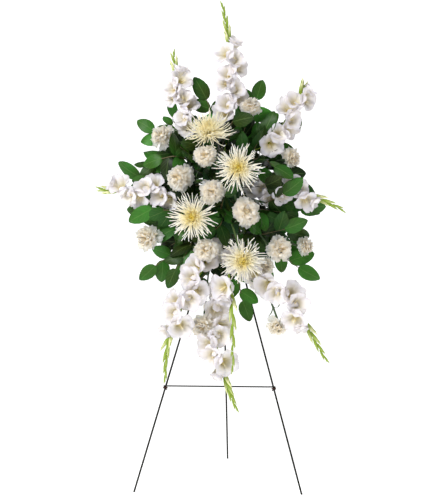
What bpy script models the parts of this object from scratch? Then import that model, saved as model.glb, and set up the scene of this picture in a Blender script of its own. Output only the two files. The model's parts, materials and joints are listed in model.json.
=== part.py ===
"""Standing funeral spray on a folding wire easel: spider chrysanthemums, carnations, gladioli and salal
in a block of floral foam. Metres, +Z up, the front faces -Y, the origin is on the floor below the middle."""

import math
import random

import bmesh
import bpy
import numpy as np
from mathutils.bvhtree import BVHTree

# Easel
WIRE_R = 0.00275
FRONT_FEET_Y = -0.210
FRONT_FOOT_X = 0.2475
REAR_FOOT_Y = 0.285
LEAN = 0.265  # how far back the front legs go for each unit of height
HINGE_Z = 0.825
HINGE_Y = FRONT_FEET_Y + LEAN * HINGE_Z
HINGE_HALF = 0.012  # from the rear leg's eye to the left leg's, and to where the right leg turns down
EYE_GAP = 0.0004
PIN_HEAD_R = 0.0044
PIN_HEAD_THICK = 0.0024
CROSSBAR_Z = 0.304
CROSSBAR_R = 0.0021
CROSSBAR_TURNS = 1.75  # round each leg
CROSSBAR_PITCH = 0.0050

# Floral foam and its tray, both leaning as the front legs do
TILT = math.atan(LEAN)
ACROSS = np.array([1.0, 0.0, 0.0])
ALONG = np.array([0.0, math.sin(TILT), math.cos(TILT)])
OUTWARD = np.array([0.0, -math.cos(TILT), math.sin(TILT)])
FOAM_AXES = np.array([ACROSS, ALONG, OUTWARD])
FOAM_HALF = np.array([0.055, 0.115, 0.040])
FOAM_MID_Z = 0.850
TRAY_WALL = 0.0030
TRAY_RIM = 0.016
TRAY_GAP = 0.0005
STAND_OFF = 0.0100  # from the middle of the front legs to the back of the tray, clear of the hinge
CLIP_BELOW_HINGE = 0.052
CLIP_HALF = (0.0075, 0.010, 0.0100)
CLIP_SUNK = 0.002  # how far the clip's middle lies from halfway between leg and tray, towards the leg
BORE_HALF = 0.05
FOAM_MID = np.array([0.0, FRONT_FEET_Y + LEAN * FOAM_MID_Z, FOAM_MID_Z]) + OUTWARD * (
    STAND_OFF + TRAY_WALL + TRAY_GAP + FOAM_HALF[2]
)

# Stems
HOLE_GAP = 0.0005
IN_FOAM = 0.034
STRAIGHT_OUT = 0.016
ENTRY_LEAN = 0.45  # how far a stem leans in its hole towards where it goes next
CLEAR = 0.0009  # between pieces of different nodes that only lie near each other
STEM_SIDES = 4
STEM_POINTS = 6
SPIKE_SIDES = 5
SPIKE_POINTS = 9
CARNATION_STEM_R = 0.0024
MUM_STEM_R = 0.0030
GLADIOLUS_STEM_R = 0.0040
GLADIOLUS_TAPER = 0.36  # what is left of its radius at the tip
TWIG_R = 0.0023
TWIG_TAPER = 0.55
FORK_OUT = 0.012  # from the end of a twig's straight stretch to where its side twigs leave it
FORK_SUNK = 0.006
CALYX = 0.018  # the length of the green cup under a bloom
MUM_CUP_R = 0.0065
CARNATION_CUP_R = 0.0080
RUN_UP = 0.045  # the stretch in which a stem turns to face as its bloom does
OFF_FOAM = 0.03  # how far out of the foam a stem starts to bow
BOWS = (0.0, 0.014, -0.014, 0.028, -0.028)
MIDDLE = np.array([0.0, -0.030, 0.870])  # the leaves spread out from here

# Spider chrysanthemums: name, head, facing, reach of the quills, foam entry (across, along)
MUMS = [
    ("upper", (-0.028, -0.165, 1.066), (0.00, -0.76, 0.65), 0.076, (-0.012, 0.086)),
    ("right", (0.061, -0.232, 0.957), (0.08, -1.00, 0.08), 0.078, (0.022, 0.040)),
    ("left", (-0.071, -0.225, 0.814), (-0.12, -1.00, 0.05), 0.080, (-0.026, -0.006)),
    ("lower", (0.074, -0.212, 0.688), (0.10, -1.00, -0.15), 0.076, (0.026, -0.056)),
]
MUM_CORE_R = 0.013
MUM_CORE_BACK = 0.008
MUM_RINGS = (-0.26, 0.36, 0.92)  # the latitudes of the core's rings, and a quill grows from each face between
MUM_SIDES = 12
MUM_REACH = (1.00, 0.86, 0.50)  # the quills' reach in each band of faces, from the outermost in
QUILL_WIDTH = 0.0044
QUILL_BEND = 0.55  # where along its length a quill bends
QUILL_HOOK = 0.35  # and how much
QUILL_SHORTER = (1.0, 0.8, 0.62, 0.45)
QUILL_SWINGS = (0.0, 0.16, -0.16, 0.32, -0.32)
QUILL_RAISED = (0.0, 0.22, -0.12)
QUILL_SIDES = [
    (0, 1, 4), (0, 4, 3), (1, 2, 5), (1, 5, 4), (2, 0, 3), (2, 3, 5), (3, 4, 6), (4, 5, 6), (5, 3, 6)
]

# Carnations: head, facing, radius, foam face, foam entry on that face
CARNATIONS = [
    ((-0.171, -0.075, 1.051), (-0.55, -0.85, 0.30), 0.036, "front", (-0.045, 0.071)),
    ((-0.034, -0.205, 0.992), (-0.10, -1.00, 0.05), 0.033, "front", (-0.008, 0.046)),
    ((-0.113, -0.170, 0.927), (-0.25, -1.00, 0.10), 0.041, "front", (-0.036, 0.028)),
    ((-0.015, -0.222, 0.888), (0.00, -1.00, 0.05), 0.036, "front", (-0.004, 0.008)),
    ((0.083, -0.215, 0.830), (0.15, -1.00, -0.02), 0.041, "front", (0.030, -0.012)),
    ((-0.033, -0.205, 0.718), (-0.10, -1.00, -0.10), 0.037, "front", (-0.010, -0.052)),
    ((-0.212, -0.090, 0.747), (-0.60, -0.80, -0.05), 0.040, "front", (-0.046, -0.046)),
    ((0.176, -0.165, 0.718), (0.45, -0.95, -0.05), 0.037, "front", (0.046, -0.036)),
    ((0.136, -0.125, 0.668), (0.20, -1.00, -0.25), 0.028, "front", (0.044, -0.072)),
    ((0.090, -0.100, 1.132), (0.15, -0.60, 0.78), 0.034, "front", (0.026, 0.092)),
    ((0.207, -0.060, 0.985), (0.80, -0.55, 0.15), 0.032, "front", (0.047, 0.052)),
    ((0.250, -0.050, 0.721), (0.85, -0.50, -0.10), 0.029, "front", (0.047, -0.010)),
    ((-0.046, -0.170, 0.493), (-0.05, -0.62, -0.78), 0.036, "bottom", (-0.026, 0.020)),
    ((0.175, -0.130, 0.491), (0.20, -0.20, -0.96), 0.032, "bottom", (0.036, 0.020)),
]
CARNATION_PETALS = 6  # in each tier
# The profile from the back to the middle, as shares of the bloom's radius: the rise and reach of each tier's
# rim, and between them the radius and height of the valleys that they grow from
CARNATION_FOOT = 0.26
CARNATION_RIMS = [(0.10, 1.00), (0.56, 0.92), (1.06, 0.78)]
CARNATION_VALLEYS = [(0.42, -0.10), (0.44, 0.04), (0.28, 0.18)]
CARNATION_CENTRE = 0.16
CARNATION_NOTCH = 0.68  # the reach of the rim between two petals
CARNATION_TIP = 0.94
CARNATION_PLACES = (0.0, 0.27, 0.5, 0.73)  # where along a petal its notch, its two humps and its tip lie
CARNATION_SMALLER = (1.0, 0.95, 0.9, 0.85, 0.8)
RUFFLE = 0.0034

# Gladioli: name, foam face and entry, the stem's line from outside the foam to its tip, florets, the first
# and last one's place along the stem from 0 to 1, where they face, and their radius
GLADIOLI = [
    ("top", "top", (0.000, 0.010),
     [(0.021, -0.050, 1.042), (0.030, -0.050, 1.162), (0.030, -0.040, 1.238), (0.023, -0.030, 1.343),
      (0.001, -0.020, 1.456)], 5, 0.34, 0.68, (0.10, -1.0, 0.15), 0.042),
    ("upper_left", "top", (-0.036, 0.006),
     [(-0.088, -0.050, 1.102), (-0.116, -0.040, 1.148), (-0.132, -0.030, 1.218), (-0.148, -0.020, 1.309)],
     4, 0.40, 0.74, (-0.15, -1.0, 0.10), 0.039),
    ("upper_right", "top", (0.038, 0.006),
     [(0.148, -0.050, 1.035), (0.190, -0.040, 1.096), (0.226, -0.030, 1.147), (0.249, -0.020, 1.208)],
     4, 0.44, 0.86, (0.25, -1.0, 0.10), 0.040),
    ("left", "left", (0.020, -0.018),
     [(-0.139, -0.060, 0.876), (-0.191, -0.060, 0.891), (-0.261, -0.060, 0.885), (-0.314, -0.050, 0.888),
      (-0.375, -0.040, 0.894)], 4, 0.36, 0.76, (-0.15, -1.0, 0.00), 0.038),
    ("right", "right", (0.004, -0.018),
     [(0.148, -0.060, 0.891), (0.224, -0.060, 0.885), (0.290, -0.050, 0.867), (0.368, -0.040, 0.831)],
     4, 0.26, 0.64, (0.15, -1.0, 0.00), 0.038),
    ("lower_left", "bottom", (-0.038, -0.012),
     [(-0.047, -0.150, 0.661), (-0.084, -0.170, 0.597), (-0.119, -0.180, 0.515), (-0.150, -0.195, 0.437),
      (-0.156, -0.195, 0.327)], 5, 0.22, 0.64, (-0.10, -1.0, -0.05), 0.042),
    ("low_front", "bottom", (0.020, -0.012),
     [(0.030, -0.160, 0.641), (0.040, -0.190, 0.579), (0.044, -0.195, 0.497), (0.044, -0.195, 0.359)],
     2, 0.30, 0.46, (-0.05, -1.0, 0.05), 0.034),
    ("low_middle", "bottom", (-0.010, -0.017),
     [(-0.012, -0.110, 0.640), (-0.013, -0.130, 0.523), (-0.006, -0.150, 0.435), (0.014, -0.160, 0.347),
      (0.056, -0.170, 0.237)], 5, 0.34, 0.72, (-0.10, -1.0, 0.00), 0.043),
    ("lower_right", "right", (-0.088, -0.012),
     [(0.105, -0.090, 0.690), (0.157, -0.130, 0.625), (0.205, -0.150, 0.567), (0.241, -0.150, 0.523),
      (0.321, -0.150, 0.384)], 4, 0.34, 0.68, (0.10, -1.0, 0.00), 0.042),
]
FLORET_TUBE = (0.17, 0.36)  # radius and height, as shares of the floret's radius, of its tube's end
FLORET_THROAT = (0.46, 0.80)
FLORET_FOOT = 0.44  # the height of the hollow's bottom
FLORET_NOTCH = (0.76, 1.10)  # the rim between two lobes
FLORET_LOBES = (1.16, 0.98)  # the heights of its lobes, in turn
FLORET_WALL = 0.0014
FLORET_SMALLER = (1.0, 0.9, 0.8, 0.7)
FLORET_SWINGS = (0.62, 0.85, 0.35, 0.05, -0.3, 1.15, -0.65)
FLORET_AHEAD = (0.35, 0.6, 0.15)
LAST_FLORET = 0.82  # its size beside the first
BUDS = 7
BUD_LENGTHS = (0.046, 0.022)  # the first and the last
BUD_WIDTHS = (0.0070, 0.0036)
BUDS_PAST = 0.08  # how far past the last floret the first bud stands, as a share of the stem
LAST_BUD = 0.96
BUD_LEANS = (0.34, 0.22, 0.12)

# Salal: name, foam face and entry, then each twig's middle point, end point and leaves
SALAL = [
    ("top", "top", (0.000, -0.019),
     [((-0.020, -0.030, 1.090), (-0.045, -0.035, 1.165), 5),
      ((0.060, -0.030, 1.080), (0.105, -0.020, 1.165), 5),
      ((0.015, -0.110, 1.040), (0.040, -0.130, 1.095), 4)]),
    ("upper_left", "left", (0.078, -0.012),
     [((-0.130, -0.060, 1.000), (-0.205, -0.050, 1.070), 5),
      ((-0.120, -0.010, 1.020), (-0.150, 0.020, 1.110), 5),
      ((-0.110, -0.110, 0.990), (-0.175, -0.105, 0.985), 5)]),
    ("left", "left", (-0.014, -0.012),
     [((-0.150, -0.020, 0.860), (-0.250, -0.030, 0.930), 5),
      ((-0.130, -0.090, 0.830), (-0.205, -0.100, 0.835), 5),
      ((-0.140, 0.020, 0.850), (-0.220, 0.030, 0.840), 4)]),
    ("lower_left", "left", (-0.080, -0.012),
     [((-0.120, -0.050, 0.720), (-0.200, -0.060, 0.660), 5),
      ((-0.090, -0.120, 0.720), (-0.130, -0.130, 0.655), 5),
      ((-0.120, 0.010, 0.760), (-0.190, 0.020, 0.750), 4)]),
    ("bottom", "bottom", (0.008, 0.020),
     [((0.040, -0.110, 0.680), (0.070, -0.120, 0.560), 5),
      ((-0.030, -0.120, 0.660), (-0.070, -0.125, 0.610), 4)]),
    ("lower_right", "right", (-0.050, -0.012),
     [((0.140, -0.030, 0.730), (0.235, -0.040, 0.655), 5),
      ((0.110, -0.090, 0.760), (0.195, -0.100, 0.775), 5),
      ((0.120, 0.020, 0.770), (0.200, 0.020, 0.730), 4)]),
    ("right", "right", (-0.022, -0.012),
     [((0.150, -0.010, 0.830), (0.240, -0.020, 0.830), 5),
      ((0.130, -0.080, 0.850), (0.190, -0.110, 0.880), 4),
      ((0.130, 0.030, 0.850), (0.190, 0.045, 0.890), 4)]),
    ("upper_right", "right", (0.072, -0.012),
     [((0.120, -0.010, 0.980), (0.200, 0.000, 1.060), 5),
      ((0.120, -0.090, 0.970), (0.165, -0.120, 0.960), 5),
      ((0.100, -0.080, 1.010), (0.130, -0.090, 1.060), 4)]),
    ("front", "front", (0.004, -0.028),
     [((0.010, -0.140, 0.800), (-0.010, -0.165, 0.775), 4),
      ((0.010, -0.150, 0.850), (0.020, -0.185, 0.905), 4)]),
]
LEAF_LENGTH = 0.074
LEAF_WIDTH = 0.047
LEAF_THICK = 0.0024
LEAF_ARCH = 0.16  # how far the tip bends down, as a share of the length
LEAF_SUNK = 0.0015  # the root's depth in its twig
LEAVES_ALONG = 0.62  # the share of a twig that carries leaves
LEAF_SMALLER = (1.0, 0.84, 0.68)
LEAF_TURNS = (0.0, 0.35, -0.35, 0.7, -0.7)
LEAF_TILTS = (0.0, 0.4, -0.4, 0.8, -0.8)

placed = []  # each piece set down so far: its node, its tree, and the corners of its box


# Vectors and curves
def unit(v):
    v = np.asarray(v, float)
    return v / np.linalg.norm(v)


def frame_of(direction, towards=(0.0, 0.0, 1.0)):
    """Three unit vectors: the direction, one across it, and the one square to both that is nearest to
    towards."""
    d = unit(direction)
    t = np.asarray(towards, float)
    if abs(unit(t) @ d) > 0.95:
        t = np.array([0.0, -1.0, 0.2])
    across = unit(np.cross(t, d))
    return d, across, np.cross(d, across)


def turned(v, axis, angle):
    """v turned about a unit axis."""
    v, k = np.asarray(v, float), unit(axis)
    return v * math.cos(angle) + np.cross(k, v) * math.sin(angle) + k * (k @ v) * (1 - math.cos(angle))


def smooth_line(points, count):
    """count points, evenly spaced, on a Catmull-Rom curve through the given ones."""
    p = np.asarray(points, float)
    p = np.vstack([2 * p[0] - p[1], p, 2 * p[-1] - p[-2]])
    t = np.linspace(0, 1, 17)[:-1, None]
    fine = []
    for a, b, c, d in zip(p, p[1:], p[2:], p[3:]):
        bend = (2 * a - 5 * b + 4 * c - d) * t**2 + (3 * b - a - 3 * c + d) * t**3
        fine.append(b + 0.5 * ((c - a) * t + bend))
    return along_line(np.vstack([*fine, p[-2:-1]]), np.linspace(0, 1, count))


def along_line(line, shares):
    """The points at these shares, from 0 to 1, of a line's length."""
    run = np.concatenate([[0], np.cumsum(np.linalg.norm(np.diff(line, axis=0), axis=1))])
    return np.stack([np.interp(np.asarray(shares) * run[-1], run, line[:, k]) for k in range(3)], axis=-1)


def circle(middle, a, b, radius, sides, height=0.0, turn=0.0):
    """Points round a middle in the plane of a and b, raised by height along their normal."""
    around = turn + np.linspace(0, 2 * math.pi, sides, endpoint=False)
    radius, height = np.broadcast_to(radius, sides)[:, None], np.broadcast_to(height, sides)[:, None]
    spoke = np.cos(around)[:, None] * a + np.sin(around)[:, None] * b
    return middle + radius * spoke + height * np.cross(a, b)


# Closed shapes, each as its points and triangles
def facing_out(points, faces):
    a, b, c = points[faces].transpose(1, 0, 2)
    return (points, faces) if np.einsum("ij,ij->i", a, np.cross(b, c)).sum() > 0 else (points, faces[:, ::-1])


def loft(rings):
    """A closed mesh through rings of equal count. A ring of one point is a pole, an open end gets a cap."""
    points, faces, start = np.vstack(rings), [], 0
    for a, b in zip(rings, rings[1:]):
        end, count = start + len(a), max(len(a), len(b))
        for j in range(count):
            n = (j + 1) % count
            if len(a) == 1:
                faces.append((start, end + n, end + j))
            elif len(b) == 1:
                faces.append((start + j, start + n, end))
            elif j % 2:
                faces += [(start + j, start + n, end + j), (start + n, end + n, end + j)]
            else:
                faces += [(start + j, start + n, end + n), (start + j, end + n, end + j)]
        start = end
    faces += [(0, j + 1, j) for j in range(1, len(rings[0]) - 1)]
    faces += [(start, start + j, start + j + 1) for j in range(1, len(rings[-1]) - 1)]
    return facing_out(points, np.array(faces))


def tube(line, radii, sides, floor=None):
    """A closed tube along a line. With floor, its last ring is slid along the tube onto that height."""
    line = np.asarray(line, float)
    tangent = np.gradient(line, axis=0)
    tangent /= np.linalg.norm(tangent, axis=1)[:, None]
    across = frame_of(tangent[0])[1]
    rings = []
    for p, t, r in zip(line, tangent, np.broadcast_to(radii, len(line))):
        across = unit(across - t * (across @ t))
        rings.append(circle(p, across, np.cross(t, across), r, sides))
    if floor is not None:
        rings[-1] = rings[-1] + ((floor - rings[-1][:, 2]) / tangent[-1][2])[:, None] * tangent[-1]
    return loft(rings)


def ring_round(middle, axis, major, minor, steps=10, sides=6):
    """A torus round an axis."""
    x, a, b = frame_of(axis)
    u, v = (np.linspace(0, 2 * math.pi, n, endpoint=False) for n in (steps, sides))
    spoke = np.cos(u)[:, None] * a + np.sin(u)[:, None] * b
    grid = middle + spoke[:, None] * (major + minor * np.cos(v))[:, None] + x * (minor * np.sin(v))[:, None]
    i, j = np.meshgrid(np.arange(steps), np.arange(sides), indexing="ij")
    i2, j2 = (i + 1) % steps, (j + 1) % sides
    quads = np.stack([i * sides + j, i2 * sides + j, i2 * sides + j2, i * sides + j2], -1).reshape(-1, 4)
    return facing_out(grid.reshape(-1, 3), np.vstack([quads[:, [0, 1, 2]], quads[:, [0, 2, 3]]]))


def slab(middle, half, axes=FOAM_AXES):
    """A box with these half sizes along these axes."""
    corners = np.array([(-1, -1), (1, -1), (1, 1), (-1, 1)], float)
    rings = [middle + np.column_stack([corners, np.full(4, z)]) * half @ axes for z in (-1, 1)]
    return loft(rings)


def blade(line, side, up, widths, thick):
    """A leaf with pointed ends and a ridge along its middle."""
    rings = [np.array([p - side * w, p + up * thick, p + side * w]) for p, w in zip(line[1:-1], widths)]
    return loft([line[:1], *rings, line[-1:]])


def pole_fan(pole, ring, turn=1):
    """Triangles from a point to each side of a ring, given as vertex numbers."""
    return [(pole, a, b)[::turn] for a, b in zip(ring, [*ring[1:], ring[0]])]


def lobe_band(ring, rim, turn=1):
    """Triangles from a ring to a rim that has several points for each of the ring's."""
    faces, per, n = [], len(rim) // len(ring), len(ring)
    half = (per + 1) // 2
    for j in range(n):
        here, there = ring[j], ring[(j + 1) % n]
        lobe = [rim[(j * per + i) % len(rim)] for i in range(per + 1)]
        fan = [(here, lobe[half], there)] + [(here, lobe[i], lobe[i + 1]) for i in range(half)]
        fan += [(there, lobe[i], lobe[i + 1]) for i in range(half, per)]
        faces += [face[::turn] for face in fan]
    return faces


# Setting pieces down clear of each other
def tree_of(points, faces):
    return BVHTree.FromPolygons(points.tolist(), faces.tolist())


def swollen(points, faces, by):
    """The mesh's points, each moved outwards."""
    a, b, c = points[faces].transpose(1, 0, 2)
    total = np.zeros_like(points)
    for k in range(3):
        np.add.at(total, faces[:, k], np.cross(b - a, c - a))
    return points + total / np.maximum(np.linalg.norm(total, axis=1), 1e-12)[:, None] * by


def is_clear(piece, apart_from, clear=CLEAR):
    """Whether a piece, at its size and grown by clear, crosses none of those set down for which apart_from,
    given their node, is true."""
    grown = swollen(*piece, clear)
    low, high = grown.min(0), grown.max(0)
    trees = None
    for node, other, other_low, other_high in placed:
        if (low > other_high).any() or (high < other_low).any() or not apart_from(node):
            continue
        trees = trees or [tree_of(points, piece[1]) for points in (grown, piece[0])]
        if any(tree.overlap(other) for tree in trees):
            return False
    return True


def set_down(piece, node):
    placed.append((node, tree_of(*piece), piece[0].min(0), piece[0].max(0)))
    return piece


def first_clear(variants, node, apart_from=None):
    """The first variant that is clear of the other nodes, set down, or None."""
    for piece in variants:
        if is_clear(piece, apart_from or (lambda other: other != node)):
            return set_down(piece, node)
    return None


# Objects
def material(name, colour, roughness, metallic=0.0):
    made = bpy.data.materials.new(name)
    made.use_nodes = True
    surface = made.node_tree.nodes["Principled BSDF"]
    surface.inputs["Base Color"].default_value = (*colour, 1.0)
    surface.inputs["Roughness"].default_value = roughness
    surface.inputs["Metallic"].default_value = metallic
    return made


def mesh_object(name, piece, finish):
    mesh = bpy.data.meshes.new(name)
    mesh.from_pydata(piece[0].tolist(), [], piece[1].tolist())
    mesh.materials.append(finish)
    made = bpy.data.objects.new(name, mesh)
    bpy.context.scene.collection.objects.link(made)
    return made


def combine(target, pieces, operation):
    """One applied Boolean of the target with all the pieces."""
    group = bpy.data.collections.new(target.name + "_pieces")
    bpy.context.scene.collection.children.link(group)
    for number, piece in enumerate(pieces):
        tool = mesh_object(f"{target.name}_piece_{number}", piece, target.data.materials[0])
        bpy.context.scene.collection.objects.unlink(tool)
        group.objects.link(tool)
    modifier = target.modifiers.new(operation.title(), "BOOLEAN")
    modifier.operation = operation
    modifier.solver = "MANIFOLD"
    modifier.operand_type = "COLLECTION"
    modifier.collection = group
    bpy.context.view_layer.update()
    result = bpy.data.meshes.new_from_object(target.evaluated_get(bpy.context.evaluated_depsgraph_get()))
    target.modifiers.clear()
    target.data = result
    for tool in list(group.objects):
        bpy.data.objects.remove(tool)
    bpy.data.collections.remove(group)


def keep_largest_body(mesh):
    """Fills the sealed hollows and drops the loose scraps that a union leaves."""
    bm = bmesh.new()
    bm.from_mesh(mesh)
    bodies, seen = [], set()
    for start in bm.faces:
        if start in seen:
            continue
        seen.add(start)
        body, edge_of_search = [start], [start]
        while edge_of_search:
            for edge in edge_of_search.pop().edges:
                fresh = [face for face in edge.link_faces if face not in seen]
                seen.update(fresh)
                body += fresh
                edge_of_search += fresh
        bodies.append(body)
    bodies.sort(key=len)
    bmesh.ops.delete(bm, geom=[face for body in bodies[:-1] for face in body], context="FACES")
    bm.to_mesh(mesh)
    bm.free()


def make_node(name, pieces, finish, cuts=()):
    """One named object: the pieces joined, less the cuts."""
    made = mesh_object(name, pieces[0], finish)
    if len(pieces) > 1:
        combine(made, pieces[1:], "UNION")
        keep_largest_body(made.data)
    if cuts:
        combine(made, cuts, "DIFFERENCE")


# Easel
def crossbar_winding(leg, sign):
    """The crossbar's end, wound round a leg, from the front and out over the far side."""
    d = unit(leg[1] - leg[0])
    at = leg[0] + d * (HINGE_Z - CROSSBAR_Z) / -d[2]
    front = unit(np.array([0.0, -1.0, 0.0]) + d * d[1])
    outer = np.cross(d, front)
    outer *= sign * np.sign(outer[0])
    turn = np.linspace(0, 2 * math.pi * CROSSBAR_TURNS, 13)[:, None]
    round_leg = np.cos(turn) * front + np.sin(turn) * outer
    return at + d * CROSSBAR_PITCH * turn / (2 * math.pi) + (WIRE_R + EYE_GAP + CROSSBAR_R) * round_leg


def make_easel(finish):
    """The two front legs, the crossbar, and the rear leg on the pin that the right leg's top makes."""
    hinge = np.array([0.0, HINGE_Y, HINGE_Z])
    eye_r = 2 * WIRE_R + EYE_GAP
    left = np.array([hinge - ACROSS * HINGE_HALF, (-FRONT_FOOT_X, FRONT_FEET_Y, 0.0)])
    right = np.array([hinge + ACROSS * (HINGE_HALF + WIRE_R), (FRONT_FOOT_X, FRONT_FEET_Y, 0.0)])
    rear = np.array([hinge, (0.0, REAR_FOOT_Y, 0.0)])

    def eyed_leg(line):
        d = unit(line[1] - line[0])
        rod = tube([line[0] + d * eye_r, line[1]], WIRE_R, 8, floor=0.0)
        return [rod, ring_round(line[0], ACROSS, eye_r, WIRE_R)]

    pin_end = hinge - ACROSS * (HINGE_HALF + WIRE_R + EYE_GAP)
    corner = [hinge + ACROSS * (HINGE_HALF + 0.001), right[0] + unit(right[1] - right[0]) * 0.004]
    pinned_leg = [
        tube([pin_end, *corner, right[1]], WIRE_R, 8, floor=0.0),
        tube([pin_end, pin_end - ACROSS * PIN_HEAD_THICK], PIN_HEAD_R, 10),
    ]
    bar = np.vstack([crossbar_winding(left, -1)[::-1], crossbar_winding(right, 1)])
    for name, pieces in (
        ("easel_leg_left", eyed_leg(left)),
        ("easel_leg_right", pinned_leg),
        ("easel_leg_rear", eyed_leg(rear)),
        ("easel_crossbar", [tube(bar, CROSSBAR_R, 4)]),
    ):
        make_node(name, pieces, finish)
        for piece in pieces:
            set_down(piece, name)
    keep_rear_leg_free(hinge, rear[1])
    return left, right


def keep_rear_leg_free(hinge, foot):
    """Nothing may stand in the thin wedge that the rear leg sweeps as it folds to the front legs."""
    folded = hinge - ALONG * np.linalg.norm(foot - hinge)
    corners = np.array([hinge - ALONG * 0.02, foot, folded])
    half = ACROSS * WIRE_R * 2.5
    set_down(loft([corners - half, corners + half]), "rear_leg_sweep")


def make_holder(legs, tray_finish, foam_finish, holes):
    """The foam block, and the tray that holds it by its back and is clipped to the two front legs."""
    outer = FOAM_HALF + TRAY_GAP + TRAY_WALL
    back = FOAM_MID - OUTWARD * (FOAM_HALF[2] + TRAY_GAP + TRAY_WALL / 2)
    tray = [slab(back, (outer[0], outer[1], TRAY_WALL / 2))]
    rim, rim_half = back + OUTWARD * TRAY_RIM / 2, (TRAY_RIM + TRAY_WALL) / 2
    side, end = outer[:2] - TRAY_WALL / 2
    for sign in (-1, 1):
        tray.append(slab(rim + ACROSS * sign * side, (TRAY_WALL / 2, outer[1], rim_half)))
        tray.append(slab(rim + ALONG * sign * end, (outer[0], TRAY_WALL / 2, rim_half)))
    bores = []
    for leg in legs:
        d = unit(leg[1] - leg[0])
        at = leg[0] + d * CLIP_BELOW_HINGE
        axes = np.array([np.cross(d, OUTWARD), d, OUTWARD])
        tray.append(slab(at + OUTWARD * (STAND_OFF / 2 - CLIP_SUNK), CLIP_HALF, axes))
        bores.append(tube([at - d * BORE_HALF, at + d * BORE_HALF], WIRE_R + EYE_GAP, 8))
    make_node("foam_tray", tray, tray_finish, bores)
    make_node("floral_foam", [slab(FOAM_MID, FOAM_HALF)], foam_finish, holes)


# Stems
def foam_entry(face, place):
    """Where a stem enters the foam, and that face's normal. On the front, place is (across, along). On a side
    it is (along, outward), and on the top and bottom (across, outward)."""
    if face == "front":
        return FOAM_MID + np.array([*place, FOAM_HALF[2]]) @ FOAM_AXES, OUTWARD
    if face in ("left", "right"):
        sign = 1 if face == "right" else -1
        return FOAM_MID + np.array([sign * FOAM_HALF[0], *place]) @ FOAM_AXES, ACROSS * sign
    sign = 1 if face == "top" else -1
    return FOAM_MID + np.array([place[0], sign * FOAM_HALF[1], place[1]]) @ FOAM_AXES, ALONG * sign


def stem_line(face, place, points, count):
    """A stem's line: straight in its hole, then smooth through the given points."""
    entry, normal = foam_entry(face, place)
    d = unit(normal + ENTRY_LEAN * unit(np.asarray(points[0]) - entry))
    return np.vstack([entry - d * IN_FOAM, smooth_line([entry + d * STRAIGHT_OUT, *points], count)])


def hole_for(line, radius, sides):
    """What a stem's hole removes from the foam."""
    d = unit(line[1] - line[0])
    return tube([line[0] - d * HOLE_GAP, line[1]], radius + HOLE_GAP, sides)


def flower_stem(bloom, head, facing, face, place, radius, cup, neck):
    """The first clear stem that ends in a cup under its bloom, and its hole. Each try bows it another way."""
    facing = unit(facing)
    under = np.array(head) - facing * neck
    approach = under - facing * RUN_UP
    entry, normal = foam_entry(face, place)
    for bow in BOWS:
        for rise in BOWS:
            middle = (entry + normal * OFF_FOAM + approach) / 2 + np.array([bow, 0, rise])
            way = [middle, approach, under - facing * CALYX]
            line = np.vstack([stem_line(face, place, way, STEM_POINTS), under])
            piece = tube(line, [radius] * STEM_POINTS + [cup * 0.6, cup], STEM_SIDES)
            if is_clear(piece, lambda other: other != bloom):
                return piece, hole_for(line, radius, STEM_SIDES)
    raise RuntimeError(f"no clear way for the stem to {bloom}")


# Spider chrysanthemums
def mum_core(head, facing):
    """The core's points, its faces in front, band by band, and those behind."""
    d, a, b = frame_of(facing)
    rings = [
        circle(head, a, b, MUM_CORE_R * math.cos(lat), MUM_SIDES, MUM_CORE_R * math.sin(lat), lat * 2)
        for lat in MUM_RINGS
    ]
    points = np.vstack([*rings, head + np.cross(a, b) * MUM_CORE_R, head - np.cross(a, b) * MUM_CORE_BACK])
    n, bands = MUM_SIDES, []
    nxt = [(j + 1) % n for j in range(n)]
    for low in (0, n):
        band = [(low + j, low + nxt[j], low + n + j) for j in range(n)]
        bands.append(band + [(low + nxt[j], low + n + nxt[j], low + n + j) for j in range(n)])
    bands.append([(2 * n + j, 2 * n + nxt[j], 3 * n) for j in range(n)])
    return points, bands, [(nxt[j], j, 3 * n + 1) for j in range(n)]


def quill(base, direction, curl, length):
    """A spider petal: a slim quill on a triangle of the core that bends towards curl at its middle. Its
    points are the base's three, three at the bend and the tip."""
    middle = base.mean(0)
    up = unit(curl - direction * (curl @ direction))
    bend = middle + direction * length * QUILL_BEND
    spread = base - middle
    spread = spread - np.outer(spread @ direction, direction)
    ring = bend + spread / np.linalg.norm(spread, axis=1)[:, None] * QUILL_WIDTH / 2
    return np.vstack([base, ring, bend + unit(direction + QUILL_HOOK * up) * length * (1 - QUILL_BEND)])


def quill_variants(base, head, facing, length, draw):
    """A quill's tries: as its face points, swung to each side, raised, then shortened."""
    d = unit(facing)
    out = unit(base.mean(0) - head + d * draw.uniform(-0.002, 0.002))
    across = unit(np.cross(d, out))
    length *= draw.uniform(0.88, 1.04)
    first = draw.uniform(-0.10, 0.10)
    for short in QUILL_SHORTER:
        for swing in QUILL_SWINGS:
            for more in QUILL_RAISED:
                way = unit(turned(turned(out, d, first + swing), across, -more))
                yield quill(base, way, d, length * short)


def make_mum(node, head, facing, reach, seed):
    """The core with a quill on each of its front faces that has a clear way, as one closed mesh."""
    points, bands, behind = mum_core(head, facing)
    faces, draw = list(behind), random.Random(seed)
    own = (node, node.replace("bloom", "core"))
    for band, share in zip(bands, MUM_REACH):
        for face in band:
            base, length = points[list(face)], reach * share - MUM_CORE_R * 0.8
            shapes = list(quill_variants(base, head, facing, length, draw))
            closed = [facing_out(shape, np.array([*QUILL_SIDES, (2, 1, 0)])) for shape in shapes]
            kept = first_clear(closed, node, lambda other: other not in own)
            if kept is None:
                faces.append(face)
                continue
            index = [*face, *range(len(points), len(points) + 4)]
            points = np.vstack([points, kept[0][3:]])
            faces += [tuple(index[i] for i in side) for side in QUILL_SIDES]
    return facing_out(points, np.array(faces))


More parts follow.
